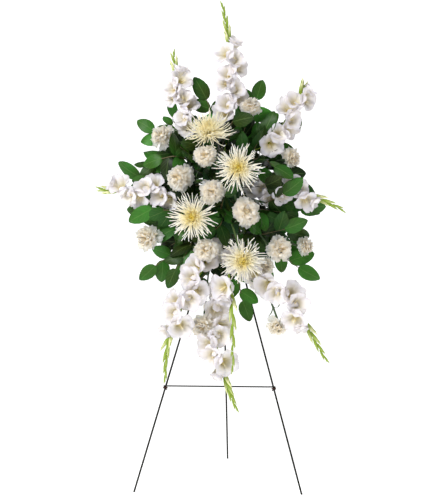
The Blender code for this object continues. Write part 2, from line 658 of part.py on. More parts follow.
# Carnations
def carnation(head, facing, radius, seed):
    """A bloom as one closed mesh: each tier of petals is a ruffled, toothed rim between two valleys."""
    d, a, b = frame_of(facing)
    draw = random.Random(seed)
    n, per = CARNATION_PETALS, 4
    place = (np.arange(n)[:, None] + np.array(CARNATION_PLACES)).ravel() / n
    start = draw.uniform(0, 2 * math.pi)
    around = start + 2 * math.pi * place
    spoke = np.cos(around)[:, None] * a + np.sin(around)[:, None] * b
    parts, count = [(head - d * CARNATION_FOOT * radius)[None]], 1
    rings, rims = [], []
    for tier, ((rise, reach), (out, high)) in enumerate(zip(CARNATION_RIMS, CARNATION_VALLEYS)):
        rings.append(list(range(count, count + n)))
        parts.append(circle(head, a, b, out * radius, n, high * radius, start))
        # In every other tier the notches between the petals stand half a petal further round.
        kind = (np.arange(n * per) + 2 * tier) % per
        uneven = np.array([draw.uniform(0.94, 1.02) for _ in kind])
        length = radius * reach * np.choose(kind, [CARNATION_NOTCH, 1.0, CARNATION_TIP, 1.0]) * uneven
        more = np.array([draw.uniform(-0.5, 0.5) for _ in kind])
        wave = RUFFLE * (np.choose(kind, [0.0, 1.0, -1.0, 1.0]) + more)
        rims.append(list(range(count + n, count + n + n * per)))
        flat = length * math.cos(rise) - wave * math.sin(rise)
        tall = length * math.sin(rise) + wave * math.cos(rise)
        parts.append(head + flat[:, None] * spoke + tall[:, None] * d)
        count += n + n * per
    parts.append((head + d * CARNATION_CENTRE * radius)[None])
    faces = pole_fan(0, rings[0])
    for ring, rim, inner in zip(rings, rims, [*rings[1:], None]):
        faces += lobe_band(ring, rim)
        faces += lobe_band(inner, rim, -1) if inner else pole_fan(count, rim, -1)
    return facing_out(np.vstack(parts), np.array(faces))


def carnation_variants(head, facing, radius, seed):
    """The bloom at its full size, then smaller."""
    return (carnation(head, facing, radius * small, seed) for small in CARNATION_SMALLER)


# Gladioli
def floret(base, direction, up, size):
    """A gladiolus floret: a six-lobed funnel on a three-sided tube, every other lobe further forward."""
    d, a, b = frame_of(direction, up)
    rim_out = np.tile([FLORET_NOTCH[0], 1.0], 6)
    rim_up = np.tile([FLORET_NOTCH[1], FLORET_LOBES[0], FLORET_NOTCH[1], FLORET_LOBES[1]], 3)
    throat_out, throat_up = (size * share for share in FLORET_THROAT)
    points = np.vstack([
        base,
        circle(base, a, b, size * FLORET_TUBE[0], 3, size * FLORET_TUBE[1]),
        circle(base, a, b, throat_out, 6, throat_up),
        base + d * size * FLORET_FOOT,
        circle(base, a, b, throat_out - FLORET_WALL, 6, throat_up + FLORET_WALL),
        circle(base, a, b, size * rim_out, 12, size * rim_up),
    ])
    tube_ring, throat, inner_throat, rim = ([*range(*ends)] for ends in ((1, 4), (4, 10), (11, 17), (17, 29)))
    faces = pole_fan(0, tube_ring) + lobe_band(tube_ring, throat) + lobe_band(throat, rim)
    faces += pole_fan(10, inner_throat, -1) + lobe_band(inner_throat, rim, -1)
    return facing_out(points, np.array(faces))


def bud(root, direction, up, length, width):
    """A closed bud in its green sheath: a slim three-sided spindle."""
    d, a, b = frame_of(direction, up)
    belly = circle(root + d * length * 0.38, a, b, width, 3)
    return loft([root[None], belly, (root + d * length)[None]])


def floret_variants(line, florets, first, last, facing, size):
    for n, share in enumerate(np.linspace(first, last, florets)):
        at, ahead = along_line(line, [share, min(share + 0.02, 1.0)])
        way = unit(ahead - at)
        side = 1 if n % 2 else -1
        grown = size * (1.0 - (1.0 - LAST_FLORET) * n / (florets - 1))
        variants = []
        for small in FLORET_SMALLER:
            for swing in FLORET_SWINGS:
                for ahead in FLORET_AHEAD:
                    d = turned(unit(facing), way, side * swing)
                    d = unit(d - way * (d @ way) + way * ahead)
                    variants.append(floret(at - d * 0.001, d, way, grown * small))
        yield variants


def bud_variants(line, last, facing):
    places = np.linspace(last + BUDS_PAST, LAST_BUD, BUDS)
    lengths, widths = (np.linspace(*ends, BUDS) for ends in (BUD_LENGTHS, BUD_WIDTHS))
    for n, share in enumerate(places):
        at, ahead = along_line(line, [share, share + 0.02])
        way = unit(ahead - at)
        out = turned(unit(np.cross(way, unit(facing))), way, 0.5) * (1 if n % 2 else -1)
        yield [bud(at - way * 0.002, way + out * lean, facing, lengths[n], widths[n]) for lean in BUD_LEANS]


def gladiolus_stem(face, place, points):
    """The first clear stem, and its line. Each try bows its first point another way."""
    for bow in BOWS:
        for rise in BOWS:
            first = np.array(points[0]) + np.array([bow, 0, rise])
            line = stem_line(face, place, [first, *points[1:]], SPIKE_POINTS)
            radii = np.linspace(1.0, GLADIOLUS_TAPER, len(line)) * GLADIOLUS_STEM_R
            piece = tube(line, radii, SPIKE_SIDES)
            if is_clear(piece, lambda other: True):
                return piece, line
    raise RuntimeError(f"no clear way for the stem to {points[-1]}")


# Salal
def salal_leaf(root, direction, up, length):
    """A salal leaf: an oval blade with a ridge for its midrib, arched to a pointed tip."""
    d, side, n = frame_of(direction, up)
    share = np.array([0.0, 0.32, 0.70, 1.0])
    line = root + d * (share * length)[:, None] - n * (LEAF_ARCH * length * share**2)[:, None]
    half = length * LEAF_WIDTH / LEAF_LENGTH / 2 * (1.0 + (LEAF_LENGTH - length) * 4.0)
    return blade(line, side, n, np.array([1.0, 0.80]) * half, LEAF_THICK)


def leaf_variants(at, way, look, side, draw):
    """A leaf's tries: turned nearer to or further from the twig, rolled about it, then made smaller."""
    length = LEAF_LENGTH * draw.uniform(0.82, 1.12)
    open_angle, roll = draw.uniform(0.75, 1.05) * side, draw.uniform(-0.3, 0.3)
    variants = []
    for size in LEAF_SMALLER:
        for turn in LEAF_TURNS:
            for tilt in LEAF_TILTS:
                face = turned(look, way, roll + tilt)
                face = unit(face - way * (face @ way))
                d = turned(way, face, open_angle + turn)
                variants.append(salal_leaf(at - d * LEAF_SUNK, d, face, length * size))
    return variants


def twig_variants(start, middle, end):
    """A twig's tries: its middle, then its end too, moved another way."""
    middle, end = np.array(middle), np.array(end)
    for far in (0.0, 0.5, 1.0):
        for x in BOWS:
            for z in BOWS:
                move = np.array([x, 0, z])
                line = smooth_line([start[-1], middle + move, end + move * far], 5)
                yield np.vstack([start[:-1], line])


def make_twigs(title, face, place, twigs):
    """The branch's twigs that are clear: each one's piece, line and number of leaves."""
    root = stem_line(face, place, [twigs[0][0], twigs[0][1]], 4)
    d = unit(root[1] - root[0])
    fork = root[1] + d * FORK_OUT
    made = []
    for middle, end, count in twigs:
        start = [fork - d * FORK_SUNK, fork] if made else [root[0], root[1], fork]
        for line in twig_variants(start, middle, end):
            piece = tube(line, np.linspace(1.0, TWIG_TAPER, len(line)) * TWIG_R, 3)
            if is_clear(piece, lambda other: other != title):
                made.append((set_down(piece, title), line, count))
                break
        else:
            print("no clear way for a twig of", title, "to", end)
    return made


def twig_leaves(line, count, draw):
    """Each leaf's tries along a twig, from its tip inwards, left and right in turn."""
    for n in range(count):
        share = 1.0 - LEAVES_ALONG * n / count
        at, behind = along_line(line, [share, share - 0.05])
        way = unit(at - behind)
        look = unit(at - MIDDLE) + np.array([0.0, -1.0 if at[1] < 0.005 else 0.5, 0.15])
        side = (1 if n % 2 else -1) if n else 0.15
        yield leaf_variants(at, way, look, side, draw)


def make_leaves(title, twigs, seed):
    """The leaves that are clear of everything, taken from each twig in turn."""
    draw = random.Random(seed)
    waiting = [list(twig_leaves(line, count, draw)) for _, line, count in twigs]
    leaves = []
    for rank in range(max(len(variants) for variants in waiting)):
        for variants in waiting:
            if rank < len(variants):
                leaves.append(first_clear(variants[rank], title + "_leaf", lambda other: other != title))
    return [piece for piece in leaves if piece]


def make_florets(title, line, florets, first, last, facing, size):
    """A spike's florets, clear of each other if they can be, then its buds."""
    mark = title + "_floret"
    for variants in floret_variants(line, florets, first, last, facing, size):
        kept = first_clear(variants, mark, lambda other: other != title)
        kept = kept or first_clear(variants, mark, lambda other: other not in (title, mark))
        if kept:
            yield kept
        else:
            print("no clear way for a floret of", title)
    for variants in bud_variants(line, last, facing):
        kept = first_clear(variants, title)
        if kept:
            yield kept


def main():
    for old in list(bpy.data.objects):
        bpy.data.objects.remove(old)
    wire = material("painted steel wire", (0.035, 0.045, 0.035), 0.45, 0.6)
    plastic = material("green plastic", (0.03, 0.11, 0.05), 0.5)
    foam = material("wet floral foam", (0.07, 0.17, 0.06), 0.95)
    cream = material("cream carnation petal", (0.86, 0.80, 0.66), 0.75)
    ivory = material("ivory chrysanthemum petal", (0.88, 0.84, 0.62), 0.7)
    white = material("white gladiolus petal", (0.88, 0.87, 0.86), 0.6)
    leaf = material("salal leaf", (0.05, 0.16, 0.04), 0.42)
    green = material("flower stem", (0.10, 0.22, 0.06), 0.6)

    legs = make_easel(wire)
    nodes, holes, spikes, branches = {}, [], [], []

    def add(title, piece, finish):
        nodes[title] = ([set_down(piece, title)], finish)

    # The heads come first, so that every stem keeps clear of them.
    for name, head, facing, *_ in MUMS:
        points, bands, behind = mum_core(np.array(head), facing)
        set_down((points, np.array([*sum(bands, []), *behind])), f"mum_{name}_core")
    for number, (head, facing, radius, *_) in enumerate(CARNATIONS, 1):
        title = f"carnation_{number:02d}_bloom"
        bloom = first_clear(carnation_variants(np.array(head), facing, radius, number), title)
        nodes[title] = ([bloom], cream)

    for name, face, place, points, *florets in GLADIOLI:
        stem, line = gladiolus_stem(face, place, points)
        add(f"gladiolus_{name}", stem, white)
        spikes.append((f"gladiolus_{name}", line, *florets))
        holes.append(hole_for(line, GLADIOLUS_STEM_R, SPIKE_SIDES))
    for name, head, facing, _, place in MUMS:
        core, neck = f"mum_{name}_core", MUM_CORE_BACK + EYE_GAP
        stem, hole = flower_stem(core, head, facing, "front", place, MUM_STEM_R, MUM_CUP_R, neck)
        add(f"mum_{name}_stem", stem, green)
        holes.append(hole)
    for number, (head, facing, radius, face, place) in enumerate(CARNATIONS, 1):
        bloom, neck = f"carnation_{number:02d}_bloom", radius * CARNATION_FOOT + EYE_GAP
        stem, hole = flower_stem(bloom, head, facing, face, place, CARNATION_STEM_R, CARNATION_CUP_R, neck)
        add(f"carnation_{number:02d}_stem", stem, green)
        holes.append(hole)
    for name, face, place, twigs in SALAL:
        title = f"salal_{name}"
        made = make_twigs(title, face, place, twigs)
        nodes[title] = ([piece for piece, _, _ in made], leaf)
        holes.append(hole_for(made[0][1], TWIG_R, 3))
        branches.append((title, made))

    for title, *spike in spikes:
        nodes[title][0].extend(make_florets(title, *spike))
    for seed, (name, head, facing, reach, _) in enumerate(MUMS):
        title = f"mum_{name}_bloom"
        nodes[title] = ([make_mum(title, np.array(head), facing, reach, seed)], ivory)
    for seed, (title, made) in enumerate(branches):
        nodes[title][0].extend(make_leaves(title, made, seed))

    make_holder(legs, plastic, foam, holes)
    for title, (pieces, finish) in nodes.items():
        make_node(title, pieces, finish)


main()
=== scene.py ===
import itertools
import json
import math

import bpy
import numpy as np
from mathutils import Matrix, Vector
from mathutils.bvhtree import BVHTree


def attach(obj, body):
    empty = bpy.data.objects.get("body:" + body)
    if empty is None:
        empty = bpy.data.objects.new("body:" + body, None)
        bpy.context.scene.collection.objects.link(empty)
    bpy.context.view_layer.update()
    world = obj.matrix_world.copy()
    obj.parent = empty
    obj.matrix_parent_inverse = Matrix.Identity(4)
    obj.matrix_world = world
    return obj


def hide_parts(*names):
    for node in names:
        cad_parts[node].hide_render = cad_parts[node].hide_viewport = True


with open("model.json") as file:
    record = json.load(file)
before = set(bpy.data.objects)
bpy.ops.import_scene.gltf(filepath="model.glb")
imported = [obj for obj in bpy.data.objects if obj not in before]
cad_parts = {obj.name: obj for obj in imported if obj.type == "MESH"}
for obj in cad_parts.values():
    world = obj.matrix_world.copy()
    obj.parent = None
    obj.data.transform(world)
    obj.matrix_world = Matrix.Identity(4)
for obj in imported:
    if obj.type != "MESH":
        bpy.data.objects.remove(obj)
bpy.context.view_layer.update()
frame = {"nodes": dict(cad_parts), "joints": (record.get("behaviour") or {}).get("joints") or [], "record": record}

goldenAngle = math.pi * (3 - math.sqrt(5))
viewer = np.array([0.2706, -4.2016, 0.9395])  # metres, where the camera stands


# Vectors and lines. Each works on one vector or on an array of them.
def unit(v):
    v = np.asarray(v, float)
    return v / np.maximum(np.linalg.norm(v, axis=-1, keepdims=True), 1e-12)


# The direction, one vector across it, and the one square to both that is nearest to towards.
def frameOf(direction, towards=(0.0, 0.0, 1.0)):
    d = unit(direction)
    t = np.broadcast_to(unit(towards), d.shape)
    t = np.where(np.abs((t * d).sum(-1, keepdims=True)) > 0.95, np.array([0.0, -0.98, 0.2]), t)
    across = unit(np.cross(t, d))
    return d, across, np.cross(d, across)


# v turned about a unit axis: its part along the axis stays, the rest goes round.
def turned(v, axis, angle):
    v, k = np.asarray(v, float), unit(axis)
    c, s = np.cos(angle), np.sin(angle)
    return v * c + np.cross(k, v) * s + k * (v * k).sum(-1, keepdims=True) * (1 - c)


# The points at these shares of a line's length.
def alongLine(line, shares):
    run = np.concatenate([[0], np.cumsum(np.linalg.norm(np.diff(line, axis=0), axis=1))])
    return np.stack([np.interp(np.asarray(shares) * run[-1], run, line[:, k]) for k in range(3)], axis=-1)


# Evenly spaced points on a Catmull-Rom curve through the given ones.
def smoothLine(points, count):
    p = np.asarray(points, float)
    p = np.vstack([2 * p[0] - p[1], p, 2 * p[-1] - p[-2]])
    t = np.linspace(0, 1, 17)[:-1, None]
    fine = []
    for a, b, c, d in zip(p, p[1:], p[2:], p[3:]):
        bend = (2 * a - 5 * b + 4 * c - d) * t**2 + (3 * b - a - 3 * c + d) * t**3
        fine.append(b + 0.5 * ((c - a) * t + bend))
    return alongLine(np.vstack([*fine, p[-2:-1]]), np.linspace(0, 1, count))


# Surfaces. A part is its points, its faces of four and of three corners, and for each point its place
# across and along the surface and its tone.
def part(points, quads, triangles, place, tone):
    return {"points": points, "quads": quads, "triangles": triangles, "place": place, "tone": tone}


# The four-cornered faces of a grid of point numbers.
def gridQuads(index):
    corners = [index[:-1, :-1], index[1:, :-1], index[1:, 1:], index[:-1, 1:]]
    return np.stack(corners, -1).reshape(-1, 4)


# Thin closed sheets from grids of points, numbered (sheet, across, along). The back lies one thickness
# behind the front along its normal, and the two share their rim.
def closedSheets(front, thickness, tone):
    n, across, along = front.shape[:3]
    normal = unit(np.cross(np.gradient(front, axis=1), np.gradient(front, axis=2)))
    back = (front - normal * thickness)[:, 1:-1, 1:-1]
    frontIndex = np.arange(across * along).reshape(across, along)
    backIndex = frontIndex.copy()
    inner = (across - 2) * (along - 2)
    backIndex[1:-1, 1:-1] = across * along + np.arange(inner).reshape(across - 2, along - 2)
    quads = np.vstack([gridQuads(frontIndex), gridQuads(backIndex)[:, ::-1]])
    each = across * along + inner
    points = np.concatenate([front.reshape(n, -1, 3), back.reshape(n, -1, 3)], axis=1).reshape(-1, 3)
    u, v = np.meshgrid(np.linspace(0, 1, across), np.linspace(0, 1, along), indexing="ij")
    place = np.stack([u, v], -1)
    place = np.concatenate([place.reshape(-1, 2), place[1:-1, 1:-1].reshape(-1, 2)])
    tone = np.broadcast_to(np.asarray(tone, float), (n, across, along))
    tone = np.concatenate([tone.reshape(n, -1), tone[:, 1:-1, 1:-1].reshape(n, -1)], axis=1).ravel()
    quads = (quads[None] + np.arange(n)[:, None, None] * each).reshape(-1, 4)
    return part(points, quads, np.empty((0, 3), int), np.tile(place, (n, 1)), tone)


# Closed tubes of one number of points, numbered (tube, point). Each ring's first spoke is the last ring's,
# laid square to the line again, and each end is closed by a point on the line.
def sweptTubes(lines, radii, sides, tone=0.0):
    lines = np.asarray(lines, float)
    n, count = lines.shape[:2]
    radii = np.broadcast_to(np.asarray(radii, float), (n, count))
    tangents = unit(np.gradient(lines, axis=1))
    around = np.linspace(0, 2 * math.pi, sides, endpoint=False)[:, None]
    across = frameOf(tangents[:, 0])[1]
    rings = []
    for k in range(count):
        t = tangents[:, k]
        across = unit(across - t * (across * t).sum(-1, keepdims=True))
        up = np.cross(t, across)
        spokes = np.cos(around) * across[:, None] + np.sin(around) * up[:, None]
        rings.append(lines[:, k, None] + spokes * radii[:, k, None, None])
    rings = np.stack(rings, axis=1)
    points = np.concatenate([rings.reshape(n, -1, 3), lines[:, :1], lines[:, -1:]], axis=1)
    index = np.arange(count * sides).reshape(count, sides)
    ahead = np.roll(index, -1, axis=1)
    quads = np.stack([index[:-1], ahead[:-1], ahead[1:], index[1:]], -1).reshape(-1, 4)
    first, last = count * sides, count * sides + 1
    start = np.stack([np.full(sides, first), ahead[0], index[0]], -1)
    end = np.stack([np.full(sides, last), index[-1], ahead[-1]], -1)
    triangles = np.vstack([start, end])
    shift = np.arange(n)[:, None, None] * (count * sides + 2)
    v, u = np.meshgrid(np.linspace(0, 1, count), np.arange(sides) / sides, indexing="ij")
    place = np.vstack([np.stack([u, v], -1).reshape(-1, 2), [[0.5, 0.0], [0.5, 1.0]]])
    tone = np.broadcast_to(np.asarray(tone, float), (n, count))
    tone = np.concatenate([np.repeat(tone, sides, axis=1), tone[:, :1], tone[:, -1:]], axis=1).ravel()
    return part(
        points.reshape(-1, 3),
        (quads[None] + shift).reshape(-1, 4),
        (triangles[None] + shift).reshape(-1, 3),
        np.tile(place, (n, 1)),
        tone,
    )


# A ring of round section about an axis: a small circle carried round a large one.
def ringPart(middle, axis, major, minor, steps=28, sides=14):
    d, a, b = frameOf(axis)
    u, v = (np.linspace(0, 2 * math.pi, n, endpoint=False) for n in (steps, sides))
    spoke = np.cos(u)[:, None] * a + np.sin(u)[:, None] * b
    grid = middle + spoke[:, None] * (major + minor * np.cos(v))[:, None] + d * (minor * np.sin(v))[:, None]
    i, j = np.meshgrid(np.arange(steps), np.arange(sides), indexing="ij")
    i2, j2 = (i + 1) % steps, (j + 1) % sides
    quads = np.stack([i * sides + j, i2 * sides + j, i2 * sides + j2, i * sides + j2], -1).reshape(-1, 4)
    place = np.stack([i / steps, j / sides], -1).reshape(-1, 2)
    return part(grid.reshape(-1, 3), quads, np.empty((0, 3), int), place, np.zeros(steps * sides))


# One object from parts. Edges sharper than the angle stay sharp, the rest are shaded smooth.
def makePiece(name, parts, finish, nodes=(), body="stand", sharpAngle=55):
    starts = np.cumsum([0] + [len(p["points"]) for p in parts])
    points = np.concatenate([p["points"] for p in parts])
    quads = np.concatenate([p["quads"] + s for p, s in zip(parts, starts)])
    triangles = np.concatenate([p["triangles"] + s for p, s in zip(parts, starts)])
    place = np.concatenate([p["place"] for p in parts])
    tone = np.concatenate([p["tone"] for p in parts])
    corners = np.concatenate([quads.ravel(), triangles.ravel()]).astype(np.int32)
    faceStarts = np.concatenate(
        [np.arange(len(quads)) * 4, len(quads) * 4 + np.arange(len(triangles)) * 3]
    ).astype(np.int32)
    mesh = bpy.data.meshes.new(name)
    mesh.vertices.add(len(points))
    mesh.vertices.foreach_set("co", points.astype(np.float32).ravel())
    mesh.loops.add(len(corners))
    mesh.loops.foreach_set("vertex_index", corners)
    mesh.polygons.add(len(faceStarts))
    mesh.polygons.foreach_set("loop_start", faceStarts)
    mesh.update(calc_edges=True)
    mesh.uv_layers.new(name="surface").data.foreach_set("uv", place[corners].astype(np.float32).ravel())
    mesh.attributes.new("tone", "FLOAT", "POINT").data.foreach_set("value", tone.astype(np.float32))
    mesh.shade_smooth()
    mesh.set_sharp_from_angle(angle=math.radians(sharpAngle))
    mesh.materials.append(finish)
    piece = bpy.data.objects.new(name, mesh)
    bpy.context.scene.collection.objects.link(piece)
    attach(piece, body)
    if nodes:
        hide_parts(*nodes)
    return piece


# Finishes. A hex colour is sRGB, and this turns it to linear by the sRGB curve.
def hexColour(text):
    shares = np.array([int(text[i : i + 2], 16) for i in (1, 3, 5)]) / 255
    linear = np.where(shares <= 0.04045, shares / 12.92, ((shares + 0.055) / 1.055) ** 2.4)
    return (*linear.tolist(), 1.0)


# A node with its settings, and one of its outputs. An input that is given a socket is linked to it. Of
# colours, Mix takes the share at 0 and the two colours at 6 and 7, and gives the result at 2.
def addNode(tree, kind, inputs=None, output=0, **settings):
    node = tree.nodes.new("ShaderNode" + kind)
    for key, value in settings.items():
        setattr(node, key, value)
    for key, value in (inputs or {}).items():
        if isinstance(value, bpy.types.NodeSocket):
            tree.links.new(value, node.inputs[key])
        else:
            node.inputs[key].default_value = value
    return node.outputs[output]


# A new material whose shader has these settings, with its tree and the shader's inputs.
def newFinish(name, settings):
    made = bpy.data.materials.new(name)
    made.use_nodes = True
    shader = made.node_tree.nodes["Principled BSDF"]
    for key, value in settings.items():
        shader.inputs[key].default_value = value
    return made, made.node_tree, shader.inputs


# Fresh green stem: matt, mottled in patches of 12 mm, and paler where its tone rises.
def stemFinish(name, dark, pale):
    made, tree, inputs = newFinish(name, {"Roughness": 0.55})
    spot = addNode(tree, "TexCoord", output="Object")
    patches = addNode(tree, "TexNoise", {"Vector": spot, "Scale": 1000 / 12.0, "Detail": 3.0})
    patches = addNode(tree, "Math", {0: patches, 1: 0.6}, operation="MULTIPLY")
    tone = addNode(tree, "Attribute", output="Fac", attribute_name="tone")
    share = addNode(tree, "Math", {0: tone, 1: patches}, operation="ADD", use_clamp=True)
    colours = {0: share, 6: hexColour(dark), 7: hexColour(pale)}
    tree.links.new(addNode(tree, "Mix", colours, 2, data_type="RGBA"), inputs["Base Color"])
    return made


# Petal: thin, soft and light-filled, so light comes through it as far as its depth. Its heart colour
# shows where the tone is high, and a sheath has ribs along it, a sine of the place across.
def petalFinish(name, rim, heart, softness, depth=0.004, ribs=0):
    settings = {
        "Roughness": 0.62,
        "Subsurface Weight": softness,
        "Subsurface Scale": depth,
        "Subsurface Radius": (1.0, 0.9, 0.7),
    }
    made, tree, inputs = newFinish(name, settings)
    tone = addNode(tree, "Attribute", output="Fac", attribute_name="tone")
    colours = {0: tone, 6: hexColour(rim), 7: hexColour(heart)}
    tree.links.new(addNode(tree, "Mix", colours, 2, data_type="RGBA"), inputs["Base Color"])
    if ribs:
        across = addNode(tree, "SeparateXYZ", {0: addNode(tree, "UVMap", uv_map="surface")})
        turn = addNode(tree, "Math", {0: across, 1: ribs * 2 * math.pi}, operation="MULTIPLY")
        wave = addNode(tree, "Math", {0: turn}, operation="SINE")
        bump = addNode(tree, "Bump", {"Height": wave, "Distance": 0.00006, "Strength": 1.0})
        tree.links.new(bump, inputs["Normal"])
    return made


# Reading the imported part. Points within two thousandths of a millimetre are one point, and each point's
# neighbours are the other ends of its edges.
def readNode(name):
    mesh = frame["nodes"][name].data
    raw = np.empty(len(mesh.vertices) * 3, np.float32)
    mesh.vertices.foreach_get("co", raw)
    mesh.calc_loop_triangles()
    corners = np.empty(len(mesh.loop_triangles) * 3, np.int32)
    mesh.loop_triangles.foreach_get("vertices", corners)
    raw = raw.reshape(-1, 3).astype(float)
    keys = np.round(raw / 2e-6).astype(np.int64)
    _, first, index = np.unique(keys, axis=0, return_index=True, return_inverse=True)
    faces = index.ravel()[corners.reshape(-1, 3)]
    ends = np.concatenate([faces[:, [0, 1]], faces[:, [1, 2]], faces[:, [2, 0]]])
    ends = np.unique(np.concatenate([ends, ends[:, ::-1]]), axis=0)
    ends = ends[ends[:, 0] != ends[:, 1]]
    points = raw[first]
    counts = np.bincount(ends[:, 0], minlength=len(points))
    return points, faces, np.split(ends[:, 1], np.cumsum(counts)[:-1])


# Of several lines, the one whose own points have the most of the node's points at its radius from them.
def bestLine(points, lines, radii):
    def score(line):  # how many points lie on a tube round the line
        gap = np.linalg.norm(points[:, None] - line[None], axis=-1) - radii
        return int((np.abs(gap) < 3e-5).sum())

    return max(lines, key=score)


# The joint, the feet and the foam block give the frame that every stem is laid in.
hinge = np.array(frame["joints"][0]["pos_m"], float)
mounts = {mount["name"]: np.array(mount["pos_m"], float) for mount in frame["record"]["mounts"]}
footLeft = mounts["foot_front_left"]
footRight = mounts["foot_front_right"]
footRear = mounts["foot_rear"]
lean = (hinge[1] - footLeft[1]) / hinge[2]
tilt = math.atan(lean)
foamAxes = np.array(
    [[1.0, 0.0, 0.0], [0.0, math.sin(tilt), math.cos(tilt)], [0.0, -math.cos(tilt), math.sin(tilt)]]
)
foamSpan = readNode("floral_foam")[0] @ foamAxes.T
foamHalf = (foamSpan.max(0) - foamSpan.min(0)) / 2
foamMiddle = (foamSpan.max(0) + foamSpan.min(0)) / 2 @ foamAxes
leafMiddle = np.array([0.0, -0.030, 0.870])
print("frame read")


# Where a stem enters the foam, and that face's normal.
def foamEntry(face, place):
    if face == "front":
        return foamMiddle + np.array([*place, foamHalf[2]]) @ foamAxes, foamAxes[2]
    if face in ("left", "right"):
        sign = 1 if face == "right" else -1
        return foamMiddle + np.array([sign * foamHalf[0], *place]) @ foamAxes, foamAxes[0] * sign
    sign = 1 if face == "top" else -1
    return foamMiddle + np.array([place[0], sign * foamHalf[1], place[1]]) @ foamAxes, foamAxes[1] * sign


holeLook = {"lean": 0.45, "depth": 0.034, "straight": 0.016}


# A stem's line: straight in its hole, which leans from the face's normal towards the first point, then
# smooth through the given points.
def stemLine(face, place, points, count):
    entry, normal = foamEntry(face, place)
    d = unit(normal + holeLook["lean"] * unit(np.asarray(points[0]) - entry))
    outside = smoothLine([entry + d * holeLook["straight"], *points], count)
    return np.vstack([entry - d * holeLook["depth"], outside])


# Easel
easelLook = {
    "wireRadius": 0.00275,
    "eyeGap": 0.0004,
    "eyeFromMiddle": 0.012,
    "pinHeadRadius": 0.0044,
    "pinHeadThickness": 0.0024,
    "bendBefore": 0.006,
    "bendAfter": 0.008,
    "crossbarRadius": 0.0021,
    "crossbarHeight": 0.304,
    "crossbarTurns": 1.75,
    "crossbarPitch": 0.0050,
    "crossbarSides": 10,
    "sides": 18,
    "paint": "#0F100D",
    "rust": "#3E2018",
    "mottle": "#231D17",
}
holderLook = {"tray": "#21482B", "foamDark": "#1F4528", "foamPale": "#39683A"}


# Painted steel wire: near-black green with a soft sheen, browner where its tone rises at the twisted ends,
# mottled in patches of 6 mm, with a grain of 1.5 mm in the paint.
def wireFinish():
    look = easelLook
    made, tree, inputs = newFinish("painted_steel_wire", {"Roughness": 0.45, "Specular IOR Level": 0.18})
    tone = addNode(tree, "Attribute", output="Fac", attribute_name="tone")
    spot = addNode(tree, "TexCoord", output="Object")
    patches = addNode(tree, "TexNoise", {"Vector": spot, "Scale": 1000 / 6.0, "Detail": 3.0})
    patches = addNode(tree, "Math", {0: patches, 1: 0.3}, operation="MULTIPLY")
    grain = addNode(tree, "TexNoise", {"Vector": spot, "Scale": 1000 / 1.5, "Detail": 3.0})
    colours = {0: tone, 6: hexColour(look["paint"]), 7: hexColour(look["rust"])}
    worn = addNode(tree, "Mix", colours, 2, data_type="RGBA")
    colours = {0: patches, 6: worn, 7: hexColour(look["mottle"])}
    tree.links.new(addNode(tree, "Mix", colours, 2, data_type="RGBA"), inputs["Base Color"])
    bump = addNode(tree, "Bump", {"Height": grain, "Distance": 0.00012, "Strength": 1.0})
    tree.links.new(bump, inputs["Normal"])
    return made


# Green polythene tray, moulded: dark and slightly waxy, with faint hollows 9 mm across.
def trayFinish():
    settings = {"Roughness": 0.46, "Base Color": hexColour(holderLook["tray"])}
    made, tree, inputs = newFinish("green_plastic_tray", settings)
    spot = addNode(tree, "TexCoord", output="Object")
    hollows = addNode(tree, "TexNoise", {"Vector": spot, "Scale": 1000 / 9.0, "Detail": 1.0})
    bump = addNode(tree, "Bump", {"Height": hollows, "Distance": 0.0002, "Strength": 1.0})
    tree.links.new(bump, inputs["Normal"])
    return made


# Wet floral foam: deep green, dead matt, with open cells of 1.6 mm.
def foamFinish():
    made, tree, inputs = newFinish("wet_floral_foam", {"Roughness": 0.95})
    spot = addNode(tree, "TexCoord", output="Object")
    cells = addNode(tree, "TexNoise", {"Vector": spot, "Scale": 1000 / 1.6, "Detail": 5.0})
    colours = {0: cells, 6: hexColour(holderLook["foamDark"]), 7: hexColour(holderLook["foamPale"])}
    tree.links.new(addNode(tree, "Mix", colours, 2, data_type="RGBA"), inputs["Base Color"])
    bump = addNode(tree, "Bump", {"Height": cells, "Distance": 0.0006, "Strength": 1.0})
    tree.links.new(bump, inputs["Normal"])
    return made


# A rod along a line that ends flat on the floor: its last ring slides along the rod onto the floor.
def floorRod(line, radius):
    rod = sweptTubes([line], radius, easelLook["sides"])
    count, sides = len(line), easelLook["sides"]
    d = unit(line[-1] - line[-2])
    ring = rod["points"][(count - 1) * sides : count * sides]
    ring -= (ring[:, 2] / d[2])[:, None] * d
    rod["points"][-1] -= rod["points"][-1][2] / d[2] * d
    return rod


# The crossbar's end, wound round a leg from the front and out over the far side: a helix, whose turns move
# down the leg by the pitch.
def windingLine(top, foot, sign):
    look = easelLook
    d = unit(foot - top)
    at = top + d * (hinge[2] - look["crossbarHeight"]) / -d[2]
    front = unit(np.array([0.0, -1.0, 0.0]) + d * d[1])
    outer = np.cross(d, front)
    outer *= sign * np.sign(outer[0])
    turn = np.linspace(0, 2 * math.pi * look["crossbarTurns"], 46)[:, None]
    spoke = np.cos(turn) * front + np.sin(turn) * outer
    reach = look["wireRadius"] + look["eyeGap"] + look["crossbarRadius"]
    return at + d * look["crossbarPitch"] * turn / (2 * math.pi) + reach * spoke


